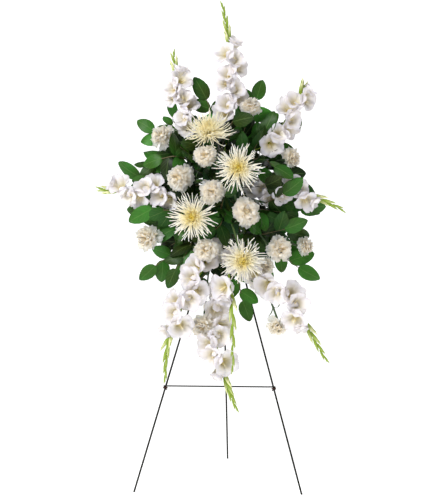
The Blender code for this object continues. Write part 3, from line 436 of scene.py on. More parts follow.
# The left and the rear leg are a rod with an eye. The right leg's rod bends over, on a curve of the second
# degree, into the pin that both eyes sit on.
def makeEasel(finish):
    look, across = easelLook, np.array([1.0, 0.0, 0.0])
    radius, eye = look["wireRadius"], 2 * look["wireRadius"] + look["eyeGap"]
    leftTop = hinge - across * look["eyeFromMiddle"]
    rightTop = hinge + across * (look["eyeFromMiddle"] + radius)
    for name, top, foot, body in (
        ("easel_leg_left", leftTop, footLeft, "stand"),
        ("easel_leg_rear", hinge, footRear, "rear_leg"),
    ):
        d = unit(foot - top)
        rod = floorRod(np.array([top + d * eye, (top + foot) / 2, foot]), radius)
        eyeRing = ringPart(top, across, eye, radius)
        makePiece(name + "_wire", [rod, eyeRing], finish, [name], body)
    d = unit(footRight - rightTop)
    pinEnd = hinge - across * (look["eyeFromMiddle"] + radius + look["eyeGap"])
    start, control, end = rightTop - across * look["bendBefore"], rightTop, rightTop + d * look["bendAfter"]
    t = np.linspace(0, 1, 9)[:, None]
    bend = start * (1 - t) ** 2 + control * 2 * t * (1 - t) + end * t**2
    rod = floorRod(np.vstack([pinEnd, bend, [(rightTop + footRight) / 2, footRight]]), radius)
    headLine = pinEnd - across * look["pinHeadThickness"] * np.array([[0.0], [0.15], [0.85], [1.0]])
    head = sweptTubes([headLine], np.array([0.86, 1.0, 1.0, 0.86]) * look["pinHeadRadius"], look["sides"])
    makePiece("easel_leg_right_wire", [rod, head], finish, ["easel_leg_right"])
    left, right = windingLine(leftTop, footLeft, -1)[::-1], windingLine(rightTop, footRight, 1)
    wound = np.linspace(0, 1, len(left)) ** 0.5
    tone = np.concatenate([1 - wound**6, (1 - wound**6)[::-1]])
    bar = sweptTubes([np.vstack([left, right])], look["crossbarRadius"], look["crossbarSides"], tone)
    makePiece("easel_crossbar_wire", [bar], finish, ["easel_crossbar"])


makeEasel(wireFinish())
for nodeName, nodeFinish in (("foam_tray", trayFinish()), ("floral_foam", foamFinish())):
    holder = frame["nodes"][nodeName]
    holder.data.materials.clear()
    holder.data.materials.append(nodeFinish)
print("easel, tray and foam done")


# Stems of chrysanthemums and carnations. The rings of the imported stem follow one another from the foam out,
# and each new ring is the four points next to the last that haven't been met.
def readStem(name):
    points, _, around = readNode(name)
    ring = np.argsort(np.linalg.norm(points - foamMiddle, axis=1))[:4]
    seen, middles, radii = set(ring.tolist()), [], []
    while len(ring):
        middle = points[ring].mean(0)
        middles.append(middle)
        radii.append(np.linalg.norm(points[ring] - middle, axis=1).mean())
        fresh = sorted({int(p) for i in ring for p in around[i]} - seen)
        seen.update(fresh)
        ring = np.array(fresh, int)
    return np.array(middles), np.array(radii)


stemLook = {
    "sides": 8,
    "points": 30,
    "leafyPoints": 46,
    "nodeEvery": 0.050,
    "nodeSwell": 1.45,
    "nodeLength": 0.004,
    "bareEnd": 0.045,
    "leafLength": 0.046,
    "leafWidth": 0.0034,
    "leafSag": 0.0012,
    "leafThickness": 0.0005,
    "calyxSlim": 0.66,
    "tone": 0.15,
}


# A narrow leaf that leaves a stem at a swelling and curls over: its line turns steadily away from the stem.
def curledLeaf(at, way, out, length, curl):
    steps = 7
    v = np.linspace(0, 1, steps + 1)
    angle = 0.45 + curl * v
    moves = np.stack([np.cos(angle), np.sin(angle)], -1)[1:] * (length / steps)
    run = np.cumsum(np.concatenate([[[0, 0]], moves]), axis=0)
    line = at + run[:, :1] * way + run[:, 1:] * out
    side = np.cross(way, out)
    half = stemLook["leafWidth"] * np.maximum(np.sin(math.pi * np.clip(v, 0.06, 0.97)) ** 0.6, 0.05)
    u = np.linspace(-1, 1, 3)[:, None, None]
    return line[None] + u * side * half[None, :, None] + out * (np.abs(u) * stemLook["leafSag"])


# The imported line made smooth. A leafy stem swells where its leaves stand, by a bell curve along it, and two
# leaves stand opposite each other at all but the lowest swelling.
def makeStem(name, finish, draw, leafy):
    look = stemLook
    line, radii = readStem(name)
    fine = np.vstack([line[:1], smoothLine(line[1:], look["points"])])
    run = np.concatenate([[0], np.cumsum(np.linalg.norm(np.diff(fine, axis=0), axis=1))])
    knots = np.concatenate([[0], np.cumsum(np.linalg.norm(np.diff(line, axis=0), axis=1))])
    radii[-2:] *= look["calyxSlim"]
    radius = np.interp(run * knots[-1] / run[-1], knots, radii)
    sheets = []
    if leafy:
        places = np.arange(0.7, 10) * look["nodeEvery"]
        places = places[places < run[-1] - look["bareEnd"]]
        fine = alongLine(fine, np.linspace(0, 1, look["leafyPoints"]))
        evenRun = np.linspace(0, run[-1], look["leafyPoints"])
        radius = np.interp(evenRun, run, radius)
        for place in places:
            radius *= 1 + (look["nodeSwell"] - 1) * np.exp(-(((evenRun - place) / look["nodeLength"]) ** 2))
        for place in places[1:]:
            at, ahead = alongLine(fine, [place / run[-1], min(place / run[-1] + 0.03, 1.0)])
            way = unit(ahead - at)
            _, a, b = frameOf(way)
            turn = draw.uniform(0, 2 * math.pi)
            for angle in (turn, turn + math.pi):
                out = math.cos(angle) * a + math.sin(angle) * b
                length = look["leafLength"] * draw.uniform(0.6, 1.1)
                sheets.append(curledLeaf(at, way, out, length, draw.uniform(0.9, 2.6)))
    parts = [sweptTubes([fine], radius, look["sides"], look["tone"])]
    if sheets:
        parts.append(closedSheets(np.array(sheets), look["leafThickness"], look["tone"] + 0.2))
    makePiece(name + "_green", parts, finish, [name])


# Spider chrysanthemums
mumLook = {
    "quills": 300,
    "quillRadius": 0.00134,
    "lowest": -0.22,
    "steepest": 1.40,
    "shortest": 0.20,
    "hook": 0.30,
    "coreBack": 0.008,
    "tipRoom": 0.004,
    "domeRadius": 0.010,
    "petal": "#FFFAEB",
    "heart": "#FFE45F",
    "softness": 0.7,
    "depth": 0.008,
    "cream": 0.03,
    "creamUpper": 0.26,
    "stem": "#33502A",
    "stemPale": "#7C9A50",
}


# A packed bloom's head, the way it faces and how far it reaches. A pole with twelve points equally far lies
# behind the head, and the middle of those points gives the way.
def readMum(name):
    points, _, around = readNode(name)
    for index, near in enumerate(around):
        reach = np.linalg.norm(points[near] - points[index], axis=1)
        if len(near) == 12 and np.ptp(reach) < 1e-5:
            d = unit(points[near].mean(0) - points[index])
            head = points[index] + d * mumLook["coreBack"]
            return head, d, np.linalg.norm(points - head, axis=1).max()
    raise RuntimeError("no head found in " + name)


# Each quill leaves the head along its own direction, bends forward with the fourth power of the place
# along it, and sways to one side with its square and its fifth power. The first lie lowest and longest,
# and each next one stands a golden angle on, steeper and shorter. It is yellow near the axis, and a dome
# closes the middle.
def mumParts(head, facing, reach, cream, draw):
    look, n = mumLook, mumLook["quills"]
    d, a, b = frameOf(facing)
    rank = (np.arange(n) + 0.5) / n
    around = np.arange(n) * goldenAngle + draw.uniform(-0.16, 0.16, n)
    rise = look["lowest"] + (look["steepest"] - look["lowest"]) * rank**1.15 + draw.uniform(-0.10, 0.10, n)
    spoke = np.cos(around)[:, None] * a + np.sin(around)[:, None] * b
    way = np.cos(rise)[:, None] * spoke + np.sin(rise)[:, None] * d
    forward = unit(d - way * (way @ d)[:, None])
    length = reach - look["tipRoom"]
    length = length * (1 - (1 - look["shortest"]) * rank**1.05) * draw.uniform(0.82, 1.0, n)
    t = np.array([0.0, 0.18, 0.38, 0.58, 0.76, 0.90, 0.97, 1.0])
    hook = draw.uniform(-0.4, 2.0, n) * look["hook"]
    sway = draw.uniform(-0.24, 0.24, n)
    start = head - d * 0.002 + spoke * 0.003
    lines = start[:, None] + way[:, None] * (length[:, None] * t)[..., None]
    lines += forward[:, None] * (length * hook)[:, None, None] * (t**4)[:, None]
    swing = (t**2 + 0.25 * t**5)[:, None]
    lines += np.cross(way, forward)[:, None] * (length * sway)[:, None, None] * swing
    profile = np.array([0.70, 0.86, 1.0, 1.04, 1.0, 0.94, 0.78, 0.40])
    radii = look["quillRadius"] * profile * (1 - 0.25 * rank)[:, None]
    fromAxis = np.linalg.norm((lines - head) - ((lines - head) @ d)[..., None] * d, axis=-1) / reach
    tone = np.clip(1.1 - fromAxis / 0.52, 0, 1) ** 1.5 * (1 - 2.4 * cream) + cream
    dome = head + d * np.linspace(-0.006, 0.010, 6)[:, None]
    domeRadii = look["domeRadius"] * np.array([0.5, 0.9, 1.0, 0.9, 0.65, 0.25])
    return [sweptTubes(lines, radii, 5, tone), sweptTubes([dome], domeRadii, 10, 1.0)]


# Carnations. Those that hang lift their faces a little.
carnationLook = {
    "petals": 21,
    "lowest": -0.42,
    "steepest": 1.42,
    "foot": 0.26,
    "middle": 0.16,
    "hangs": -0.5,
    "lifted": 0.8,
    "ruffle": 0.150,
    "tooth": 0.052,
    "thickness": 0.0005,
    "petal": "#FFFAEC",
    "heart": "#FDE3A9",
    "softness": 0.9,
    "depth": 0.014,
    "stem": "#22351F",
    "stemPale": "#5F7C50",
}


# A packed bloom's head, the way it faces and its radius. The point with the most neighbours is its
# middle, and one with six equally far is its foot.
def readCarnation(name):
    points, _, around = readNode(name)
    counts = np.array([len(near) for near in around])
    middle = points[int(np.argmax(counts))]
    for index in np.flatnonzero(counts == 6):
        reach = np.linalg.norm(points[around[index]] - points[index], axis=1)
        if np.ptp(reach) < 1e-5:
            foot = points[index]
            radius = np.linalg.norm(middle - foot) / (carnationLook["foot"] + carnationLook["middle"])
            d = unit(middle - foot)
            return foot + d * carnationLook["foot"] * radius, d, radius
    raise RuntimeError("no foot found in " + name)


# Each petal's middle line is a curve of the second degree from the calyx to the dome. It widens along its
# length, its tip is rounded back by the square of its breadth, and its edge is toothed and waves to and
# fro. The inner ones rise further before they bend out, so that their faces show.
def carnationParts(head, facing, radius, draw):
    look, n = carnationLook, carnationLook["petals"]
    d, a, b = frameOf(facing)
    rank = (np.arange(n) + 0.5) / n
    around = np.arange(n) * goldenAngle + draw.uniform(-0.15, 0.15, n)
    rise = look["lowest"] + (look["steepest"] - look["lowest"]) * rank**0.95 + draw.uniform(-0.12, 0.12, n)
    reach = radius * (1.08 - 0.26 * rank) * draw.uniform(0.80, 1.16, n)
    spoke = np.cos(around)[:, None] * a + np.sin(around)[:, None] * b
    side = np.cross(d, spoke)
    root = head - d * look["foot"] * radius + spoke * (0.10 * radius * (1 - 0.6 * rank))[:, None]
    outward, upward = np.cos(rise) * reach + 0.20 * rank * radius, np.sin(rise) * reach * 0.90
    tip = head + spoke * outward[:, None] + d * upward[:, None]
    outward, upward = 0.30 * radius * np.cos(rise), radius * (0.36 + 0.88 * rank)
    control = root + d * upward[:, None] + spoke * outward[:, None]
    u = np.linspace(-1, 1, 9)
    v = np.array([0.0, 0.38, 0.68, 0.88, 1.0])
    t = v[None, :, None]
    line = root[:, None] * (1 - t) ** 2 + control[:, None] * 2 * t * (1 - t) + tip[:, None] * t**2
    way = unit((control - root)[:, None] * (1 - t) + (tip - control)[:, None] * t)
    normal = unit(np.cross(side[:, None], way))
    half = radius * (0.07 + 0.49 * v**1.25) * (1 - 0.10 * rank)[:, None]
    phase = draw.uniform(0, 2 * math.pi, (n, 1, 1))
    slow = np.sin(1.7 * math.pi * u[None, :, None] + phase)
    quick = np.sin(2.2 * math.pi * u[None, :, None] + 2 * phase)
    lift = (slow + 0.5 * quick) * look["ruffle"] * radius * v**2
    tooth = np.where(np.arange(9) % 2, -1.0, 1.0)[None, :, None] * look["tooth"] * radius * (v > 0.99)
    back = tooth - 0.32 * radius * u[None, :, None] ** 2 * v**2
    grid = line[:, None] + side[:, None, None] * (u[None, :, None] * half[:, None])[..., None]
    grid = grid + way[:, None] * back[..., None] + normal[:, None] * lift[..., None]
    tone = np.clip(0.95 * (1 - v) ** 0.8 + 0.30 * rank[:, None] ** 2, 0, 1)
    tone = np.broadcast_to(tone[:, None], (n, 9, 5))
    core = head + d * radius * np.linspace(-0.25, 0.36, 6)[:, None]
    coreRadii = radius * np.array([0.12, 0.26, 0.38, 0.42, 0.34, 0.10])
    return [closedSheets(grid, look["thickness"], tone), sweptTubes([core], coreRadii, 12, 0.35)]


mumWhite, carnationCream = (
    petalFinish(name, look["petal"], look["heart"], look["softness"], look["depth"])
    for name, look in (("chrysanthemum_petal_ivory", mumLook), ("carnation_petal_cream", carnationLook))
)
mumGreen = stemFinish("chrysanthemum_stem_green", mumLook["stem"], mumLook["stemPale"])
carnationGreen = stemFinish("carnation_stem_green", carnationLook["stem"], carnationLook["stemPale"])
heads = []  # the middle and the radius of each round bloom
draw = np.random.default_rng(11)
for name in sorted(frame["nodes"]):
    if name.startswith("mum_") and name.endswith("_bloom"):
        head, facing, reach = readMum(name)
        heads.append((head, reach * 0.8))
        cream = mumLook["creamUpper" if "upper" in name else "cream"]
        parts = mumParts(head, facing, reach, cream, draw)
        makePiece(name.replace("bloom", "quills"), parts, mumWhite, [name])
    elif name.startswith("carnation_") and name.endswith("_bloom"):
        head, facing, radius = readCarnation(name)
        if facing[2] < carnationLook["hangs"]:
            foot = head - facing * carnationLook["foot"] * radius
            facing = unit(facing + np.array([0.0, -carnationLook["lifted"], 0.0]))
            head = foot + facing * carnationLook["foot"] * radius
        heads.append((head + facing * radius * 0.3, radius * 0.9))
        parts = carnationParts(head, facing, radius, draw)
        petals = name.replace("bloom", "petals")
        makePiece(petals, parts, carnationCream, [name], sharpAngle=100)
for name in sorted(frame["nodes"]):
    if name.endswith("_stem"):
        leafy = name.startswith("carnation")
        makeStem(name, carnationGreen if leafy else mumGreen, draw, leafy)
print("chrysanthemums and carnations done")


# Gladioli: the foam face and entry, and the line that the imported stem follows, with the share of it where
# the last floret opens and the way the florets face.
gladioli = {
    "top": ("top", (0.000, 0.010),
            [(0.021, -0.050, 1.042), (0.030, -0.050, 1.162), (0.030, -0.040, 1.238), (0.023, -0.030, 1.343),
             (0.001, -0.020, 1.456)], 0.68, (0.10, -1.0, 0.15)),
    "upper_left": ("top", (-0.036, 0.006),
                   [(-0.088, -0.050, 1.102), (-0.116, -0.040, 1.148), (-0.132, -0.030, 1.218),
                    (-0.148, -0.020, 1.309)], 0.74, (-0.15, -1.0, 0.10)),
    "upper_right": ("top", (0.038, 0.006),
                    [(0.148, -0.050, 1.035), (0.190, -0.040, 1.096), (0.226, -0.030, 1.147),
                     (0.249, -0.020, 1.208)], 0.86, (0.25, -1.0, 0.10)),
    "left": ("left", (0.020, -0.018),
             [(-0.139, -0.060, 0.876), (-0.191, -0.060, 0.891), (-0.261, -0.060, 0.885),
              (-0.314, -0.050, 0.888), (-0.375, -0.040, 0.894)], 0.76, (-0.15, -1.0, 0.00)),
    "right": ("right", (0.004, -0.018),
              [(0.148, -0.060, 0.891), (0.224, -0.060, 0.885), (0.290, -0.050, 0.867),
               (0.368, -0.040, 0.831)], 0.64, (0.15, -1.0, 0.00)),
    "lower_left": ("bottom", (-0.038, -0.012),
                   [(-0.047, -0.150, 0.661), (-0.084, -0.170, 0.597), (-0.119, -0.180, 0.515),
                    (-0.150, -0.195, 0.437), (-0.156, -0.195, 0.327)], 0.64, (-0.10, -1.0, -0.05)),
    "low_front": ("bottom", (0.020, -0.012),
                  [(0.030, -0.160, 0.641), (0.040, -0.190, 0.579), (0.044, -0.195, 0.497),
                   (0.044, -0.195, 0.359)], 0.46, (-0.05, -1.0, 0.05)),
    "low_middle": ("bottom", (-0.010, -0.017),
                   [(-0.012, -0.110, 0.640), (-0.013, -0.130, 0.523), (-0.006, -0.150, 0.435),
                    (0.014, -0.160, 0.347), (0.056, -0.170, 0.237)], 0.72, (-0.10, -1.0, 0.00)),
    "lower_right": ("right", (-0.088, -0.012),
                    [(0.105, -0.090, 0.690), (0.157, -0.130, 0.625), (0.205, -0.150, 0.567),
                     (0.241, -0.150, 0.523), (0.321, -0.150, 0.384)], 0.68, (0.10, -1.0, 0.00)),
}
bows = (0.0, 0.014, -0.014, 0.028, -0.028)  # metres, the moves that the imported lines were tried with
gladiolusLook = {
    "stemRadius": 0.0040,
    "taper": 0.36,
    "budEvery": 0.019,
    "budLengths": (0.062, 0.030),
    "budWidths": (0.0088, 0.0040),
    "budShares": (0.06, 0.90, 0.965),
    "smallest": 0.0385,
    "smallestHanging": 0.0435,
    "hangsBelow": 0.2,
    "mostGrown": 1.95,
    "halfOpen": 0.044,
    "betweenSize": 0.86,
    "betweenRoom": 1.1,
    "bloomRoom": 0.6,
    "longTube": 1.35,
    "thickness": 0.0006,
    "ruffle": 0.12,
    "petal": "#EFE9ED",
    "heart": "#EDDC70",
    "softness": 0.5,
    "depth": 0.006,
    "sheath": "#88A22C",
    "budTip": "#E8E8B0",
    "sheathRibs": 5,
    "stamen": "#F3EED6",
    "anther": "#E6D49A",
}


# The line of a packed spike: its first point moved by one bow across and one upward, whichever fits best.
def spikeLine(name, points):
    face, place, way, *_ = gladioli[name]
    radii = np.linspace(1.0, gladiolusLook["taper"], 10) * gladiolusLook["stemRadius"]
    firsts = [np.array(way[0]) + np.array([x, 0, z]) for x in bows for z in bows]
    return bestLine(points, [stemLine(face, place, [first, *way[1:]], 9) for first in firsts], radii)


# A floret's throat ends in a point with six neighbours equally far, 0.44 of its size from its base. Those
# six are the throat's ring, whose radius is 0.46 of the size less 1.4 mm. They give its size, way and
# turn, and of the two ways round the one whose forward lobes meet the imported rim, 1.16 of the size from
# the base, is right.
def readFlorets(points, around, smallest):
    found = []
    for index, near in enumerate(around):
        reach = np.linalg.norm(points[near] - points[index], axis=1)
        if len(near) != 6 or np.ptp(reach) > 1e-5 or reach[0] < 0.008:
            continue
        middle = points[near].mean(0)
        d = unit(middle - points[index])
        size = (np.linalg.norm(points[near[0]] - middle) + 0.0014) / 0.46
        base = points[index] - d * 0.44 * size
        spoke = unit(points[near[0]] - middle)
        best = None
        for start in (math.pi / 6, math.pi / 2):
            lobe = turned(spoke, d, start)
            gap = sum(
                np.linalg.norm(points - (base + d * 1.16 * size + turned(lobe, d, k) * size), axis=1).min()
                for k in (0.0, 2 * math.pi / 3, 4 * math.pi / 3)
            )
            if best is None or gap < best[0]:
                best = (gap, lobe)
        grown = min(max(size, smallest), size * gladiolusLook["mostGrown"])
        found.append((base, d, grown, best[1]))
    return found


# A full spike has no gaps: one more floret opens halfway between two that stand further apart than its
# size, to the left and right in turn, unless a round bloom is there.
def betweenFlorets(line, florets, facing):
    made, look = [], gladiolusLook
    places = alongLine(line, np.linspace(0, 1, 201))
    order = sorted(florets, key=lambda floret: np.linalg.norm(places - floret[0], axis=1).argmin())
    for n, (first, second) in enumerate(zip(order[:-1], order[1:])):
        size = (first[2] + second[2]) / 2 * look["betweenSize"]
        base = (first[0] + second[0]) / 2
        out = unit(np.cross(second[0] - first[0], unit(facing))) * (1 if n % 2 else -1)
        d = unit(first[1] + second[1] + out * 0.6 + unit(facing) * 0.4)
        middle, room = base + d * size, size * look["bloomRoom"]
        blocked = any(np.linalg.norm(middle - head) < radius + room for head, radius in heads)
        if np.linalg.norm(second[0] - first[0]) < size * look["betweenRoom"] or blocked:
            continue
        made.append((base, d, size, unit(np.cross(d, out))))
    return made


# Where the flowers end and the buds begin, one floret is only half open and still points along the spike.
# The share at which the flowers end puts it to the left or the right.
def halfOpenFloret(line, last, facing):
    at, ahead = alongLine(line, [last + 0.015, last + 0.035])
    way, front = unit(ahead - at), unit(facing)
    out = unit(np.cross(way, front)) * (1 if last * 100 % 2 < 1 else -1)
    d = unit(way * 1.2 + out * 0.55 + front * 0.45)
    return at + out * 0.002, d, gladiolusLook["halfOpen"], unit(np.cross(d, out))


# Six tepals, three of them further forward. Across, each wraps round the axis by an angle that is its
# breadth over its distance from the axis. Along, its profile runs from the tube through the throat to the
# lobe's tip, and its edge waves by a sine. A half-open floret draws in along that profile, and a longer
# tube lifts all of it.
def floretParts(base, d, size, lobe, draw, opened=1.0, tube=1.0):
    v = np.array([0.0, 0.18, 0.38, 0.57, 0.75, 0.89, 1.0])
    out = np.array([0.045, 0.14, 0.31, 0.53, 0.76, 0.93, 1.02])
    breadth = np.array([0.045, 0.13, 0.29, 0.47, 0.51, 0.38, 0.10])
    up = np.array([0.02, 0.35, 0.65, 0.88, 1.01, 1.05, 1.01])
    u = np.linspace(-1, 1, 7)
    grids, tones = [], []
    for k in range(6):
        forward = k % 2 == 0
        rise = up + (0.12 if forward else -0.13) * v**2 + draw.uniform(-0.10, 0.10) * v**2
        wide = breadth * (1.0 if forward else 1.12) * draw.uniform(0.94, 1.06)
        spread = out * (1.0 if forward else 0.98) * (1.0 - (1.0 - opened) * v)
        middle = turned(lobe, d, k * math.pi / 3)
        angle = (u[:, None] * (wide / spread)[None]) + draw.uniform(-0.05, 0.05)
        spoke = middle * np.cos(angle)[..., None] + np.cross(d, middle) * np.sin(angle)[..., None]
        phase = draw.uniform(0, 2 * math.pi)
        wave = np.sin(9.0 * v[None] + 2.8 * u[:, None] + phase) * np.abs(u[:, None]) ** 1.3 * v**1.6
        cup = 0.05 * u[:, None] ** 2 * v * (1 if forward else 0.4)
        height = rise[None] * tube + gladiolusLook["ruffle"] * wave + cup
        fromAxis = spread if forward else spread * 0.98 + 0.012
        grids.append(base + d * (size * height)[..., None] + spoke * (size * fromAxis)[:, None])
        tones.append(np.broadcast_to(np.clip(1.05 - v[None] / 0.72, 0, 1) ** 1.2, (7, 7)))
    return closedSheets(np.array(grids), gladiolusLook["thickness"], np.array(tones))


# Three stamens and a pistil lie along the throat's upper side and bend outward a little more than evenly.
# The stamens end in thicker anthers.
def stamenParts(base, d, size, lobe, draw):
    lines, tones = [], []
    t = np.linspace(0, 1, 6)[:, None]
    for k, length in ((-0.45, 0.98), (0.0, 0.92), (0.45, 1.0), (0.1, 1.12)):
        spoke = turned(lobe, d, k + draw.uniform(-0.1, 0.1))
        lines.append(base + d * size * (0.30 + (length - 0.30) * t) + spoke * size * (0.02 + 0.20 * t**1.5))
        tones.append(np.array([0.0, 0.0, 0.0, 1.0, 1.0, 1.0]) if length < 1.05 else np.zeros(6))
    radii = np.array([0.0007, 0.0007, 0.0007, 0.0013, 0.0014, 0.0006])
    return sweptTubes(np.array(lines), radii, 5, np.array(tones))


# A bract: a pointed sheath that clasps what grows from the stem, round it like part of a tube. Its breadth
# follows a sine that rises fast and falls to a point, and its tip flares out with the square of the place.
def bractSheet(root, way, out, length, width, flare):
    v = np.linspace(0, 1, 7)
    u = np.linspace(-1, 1, 5)
    side = np.cross(way, out)
    half = width * np.maximum(np.sin(math.pi * np.clip(v, 0.0, 1.0) ** 0.55) ** 0.8, 0.04)
    line = root + way * (v * length)[:, None] + out * (width * 0.75 + flare * length * v**2)[:, None]
    angle = u[:, None] * 1.35
    grid = line[None] + side * (np.sin(angle) * half)[..., None]
    return grid - out * ((1 - np.cos(angle)) * half)[..., None]


# The buds: spindles that end in a point, to the left and right in turn, each in its bract. The first ones
# show white where the petals push out of the sheath.
def budParts(line, last, facing, draw):
    look = gladiolusLook
    run = np.linalg.norm(np.diff(line, axis=0), axis=1).sum()
    onward, latest, end = look["budShares"]
    first = min(last + onward, latest)
    count = int(np.clip(round((end - first) * run / look["budEvery"]) + 1, 3, 8))
    places = np.linspace(first, end, count)
    lengths, widths = (np.linspace(*look[key], count) for key in ("budLengths", "budWidths"))
    t = np.array([0.0, 0.12, 0.28, 0.45, 0.62, 0.78, 0.90, 1.0])
    profile = np.array([0.24, 0.62, 0.94, 1.0, 0.82, 0.52, 0.26, 0.05])
    lines, radii, tones, sheets = [], [], [], []
    for n, share in enumerate(places):
        at, ahead = alongLine(line, [share, min(share + 0.02, 1.0)])
        way = unit(ahead - at)
        out = turned(unit(np.cross(way, unit(facing))), way, 0.5) * (1 if n % 2 else -1)
        d = unit(way + out * (0.17 - 0.015 * n) + unit(facing) * draw.uniform(-0.02, 0.08))
        root = at - way * 0.002 + out * 0.001
        lines.append(root + d * (t * lengths[n])[:, None] + out * (0.05 * lengths[n] * t**2)[:, None])
        radii.append(widths[n] * 0.72 * profile)
        tones.append(np.clip((t - 0.35) / 0.3, 0, 1) * max(0.15, 0.95 - 0.28 * n))
        across = unit(out - d * (out @ d))
        sheets.append(bractSheet(root, d, across, lengths[n] * 0.86, widths[n] * 0.72, 0.04))
    return [
        sweptTubes(np.array(lines), np.array(radii), 7, np.array(tones)),
        closedSheets(np.array(sheets), 0.0005, 0.0),
    ]


look = gladiolusLook
gladiolusWhite = petalFinish(
    "gladiolus_petal_white", look["petal"], look["heart"], look["softness"], look["depth"]
)
gladiolusGreen = petalFinish(
    "gladiolus_sheath_green", look["sheath"], look["budTip"], 0.15, ribs=look["sheathRibs"]
)
stamenStraw = petalFinish("gladiolus_stamen_straw", look["stamen"], look["anther"], 0.2)
floretTotal = 0
for name, (*_, last, facing) in gladioli.items():
    node = "gladiolus_" + name
    points, _, around = readNode(node)
    line = spikeLine(name, points)
    hangs = line[-1][2] < line[0][2] - look["hangsBelow"]
    florets = readFlorets(points, around, look["smallestHanging" if hangs else "smallest"])
    between = betweenFlorets(line, florets, facing)
    floretTotal += len(florets) + len(between)
    petals = [floretParts(*floret, draw) for floret in florets]
    petals += [floretParts(*floret, draw, 1.0, look["longTube"]) for floret in between]
    petals.append(floretParts(*halfOpenFloret(line, last, facing), draw, 0.5))
    makePiece(node + "_florets", petals, gladiolusWhite, [node])
    further = (look["longTube"] - 1) * 0.6
    raised = [(base + d * size * further, d, size, lobe) for base, d, size, lobe in between]
    stamens = [stamenParts(*floret, draw) for floret in florets + raised]
    makePiece(node + "_stamens", stamens, stamenStraw)
    fine = np.vstack([line[:1], smoothLine(line[1:], 40)])
    radii = np.linspace(1.0, look["taper"], 41) * look["stemRadius"]
    green = [sweptTubes([fine], radii, 8, 0.0), *budParts(line, last, facing, draw)]
    for base, d, size, _ in florets + between:
        nearest = int(np.argmin(np.linalg.norm(fine - base, axis=1)))
        up = unit(fine[min(nearest + 1, 40)] - fine[nearest])
        for sign, length in ((1, 0.66), (-1, 0.50)):  # the outer bract is longer than the inner one
            across = unit(up * sign - d * (up @ d) * sign)
            sheet = bractSheet(base - d * 0.002, d, across, size * length, size * 0.15, 0.36)
            green.append(closedSheets(sheet[None], 0.0005, 0.0))
    makePiece(node + "_green", green, gladiolusGreen)
print("gladioli done,", floretTotal, "florets")


# Salal: the foam face and entry, then each twig's middle and end.
salal = {
    "top": ("top", (0.000, -0.019),
            [((-0.020, -0.030, 1.090), (-0.045, -0.035, 1.165)),
             ((0.060, -0.030, 1.080), (0.105, -0.020, 1.165)),
             ((0.015, -0.110, 1.040), (0.040, -0.130, 1.095))]),
    "upper_left": ("left", (0.078, -0.012),
                   [((-0.130, -0.060, 1.000), (-0.205, -0.050, 1.070)),
                    ((-0.120, -0.010, 1.020), (-0.150, 0.020, 1.110)),
                    ((-0.110, -0.110, 0.990), (-0.175, -0.105, 0.985))]),
    "left": ("left", (-0.014, -0.012),
             [((-0.150, -0.020, 0.860), (-0.250, -0.030, 0.930)),
              ((-0.130, -0.090, 0.830), (-0.205, -0.100, 0.835)),
              ((-0.140, 0.020, 0.850), (-0.220, 0.030, 0.840))]),
    "lower_left": ("left", (-0.080, -0.012),
                   [((-0.120, -0.050, 0.720), (-0.200, -0.060, 0.660)),
                    ((-0.090, -0.120, 0.720), (-0.130, -0.130, 0.655)),
                    ((-0.120, 0.010, 0.760), (-0.190, 0.020, 0.750))]),
    "bottom": ("bottom", (0.008, 0.020),
               [((0.040, -0.110, 0.680), (0.070, -0.120, 0.560)),
                ((-0.030, -0.120, 0.660), (-0.070, -0.125, 0.610))]),
    "lower_right": ("right", (-0.050, -0.012),
                    [((0.140, -0.030, 0.730), (0.235, -0.040, 0.655)),
                     ((0.110, -0.090, 0.760), (0.195, -0.100, 0.775)),
                     ((0.120, 0.020, 0.770), (0.200, 0.020, 0.730))]),
    "right": ("right", (-0.022, -0.012),
              [((0.150, -0.010, 0.830), (0.240, -0.020, 0.830)),
               ((0.130, -0.080, 0.850), (0.190, -0.110, 0.880)),
               ((0.130, 0.030, 0.850), (0.190, 0.045, 0.890))]),
    "upper_right": ("right", (0.072, -0.012),
                    [((0.120, -0.010, 0.980), (0.200, 0.000, 1.060)),
                     ((0.120, -0.090, 0.970), (0.165, -0.120, 0.960)),
                     ((0.100, -0.080, 1.010), (0.130, -0.090, 1.060))]),
    "front": ("front", (0.004, -0.028),
              [((0.010, -0.140, 0.800), (-0.010, -0.165, 0.775)),
               ((0.010, -0.150, 0.850), (0.020, -0.185, 0.905))]),
}
salalLook = {
    "twigRadius": 0.0023,
    "taper": 0.55,
    "arch": 0.16,
    "twist": 0.35,
    "thickness": 0.0006,
    "edgeWave": 0.0016,
    "bulge": 0.0022,
    "midribSink": 0.0011,
    "fillerTwigs": 72,
    "fillerTwigRadii": (0.0016, 0.0009),
    "stalkRadii": (0.0009, 0.0007),
    "fillerLeaves": 6,
    "fillerLength": 0.066,
    "ovalHalf": (0.250, 0.262),
    "ovalHeight": 0.885,
    "gapOval": (0.222, 0.245),
    "gapHeight": 0.880,
    "gapStep": 0.042,
    "gapDepths": (-0.03, 0.0, -0.06, 0.02, -0.09, 0.01, -0.015, 0.03, -0.045, -0.12),
    "mostCover": 0.12,
    "furthestBack": 0.045,
    "legRoom": 0.012,
    "legHalf": 0.009,
    # painted shade: the near-black green that leaves inside the mass are painted towards; the light green below is
    # painted light on the outer leaves
    "deep": "#061204",
    "light": "#4C9C33",
    "olive": "#34400D",
    "dull": "#1C3A1E",
    "vein": "#7F9E58",
    "sideVeins": 8,
    "bark": "#33401F",
    "barkPale": "#6A5A35",
    "seed": 5,
}
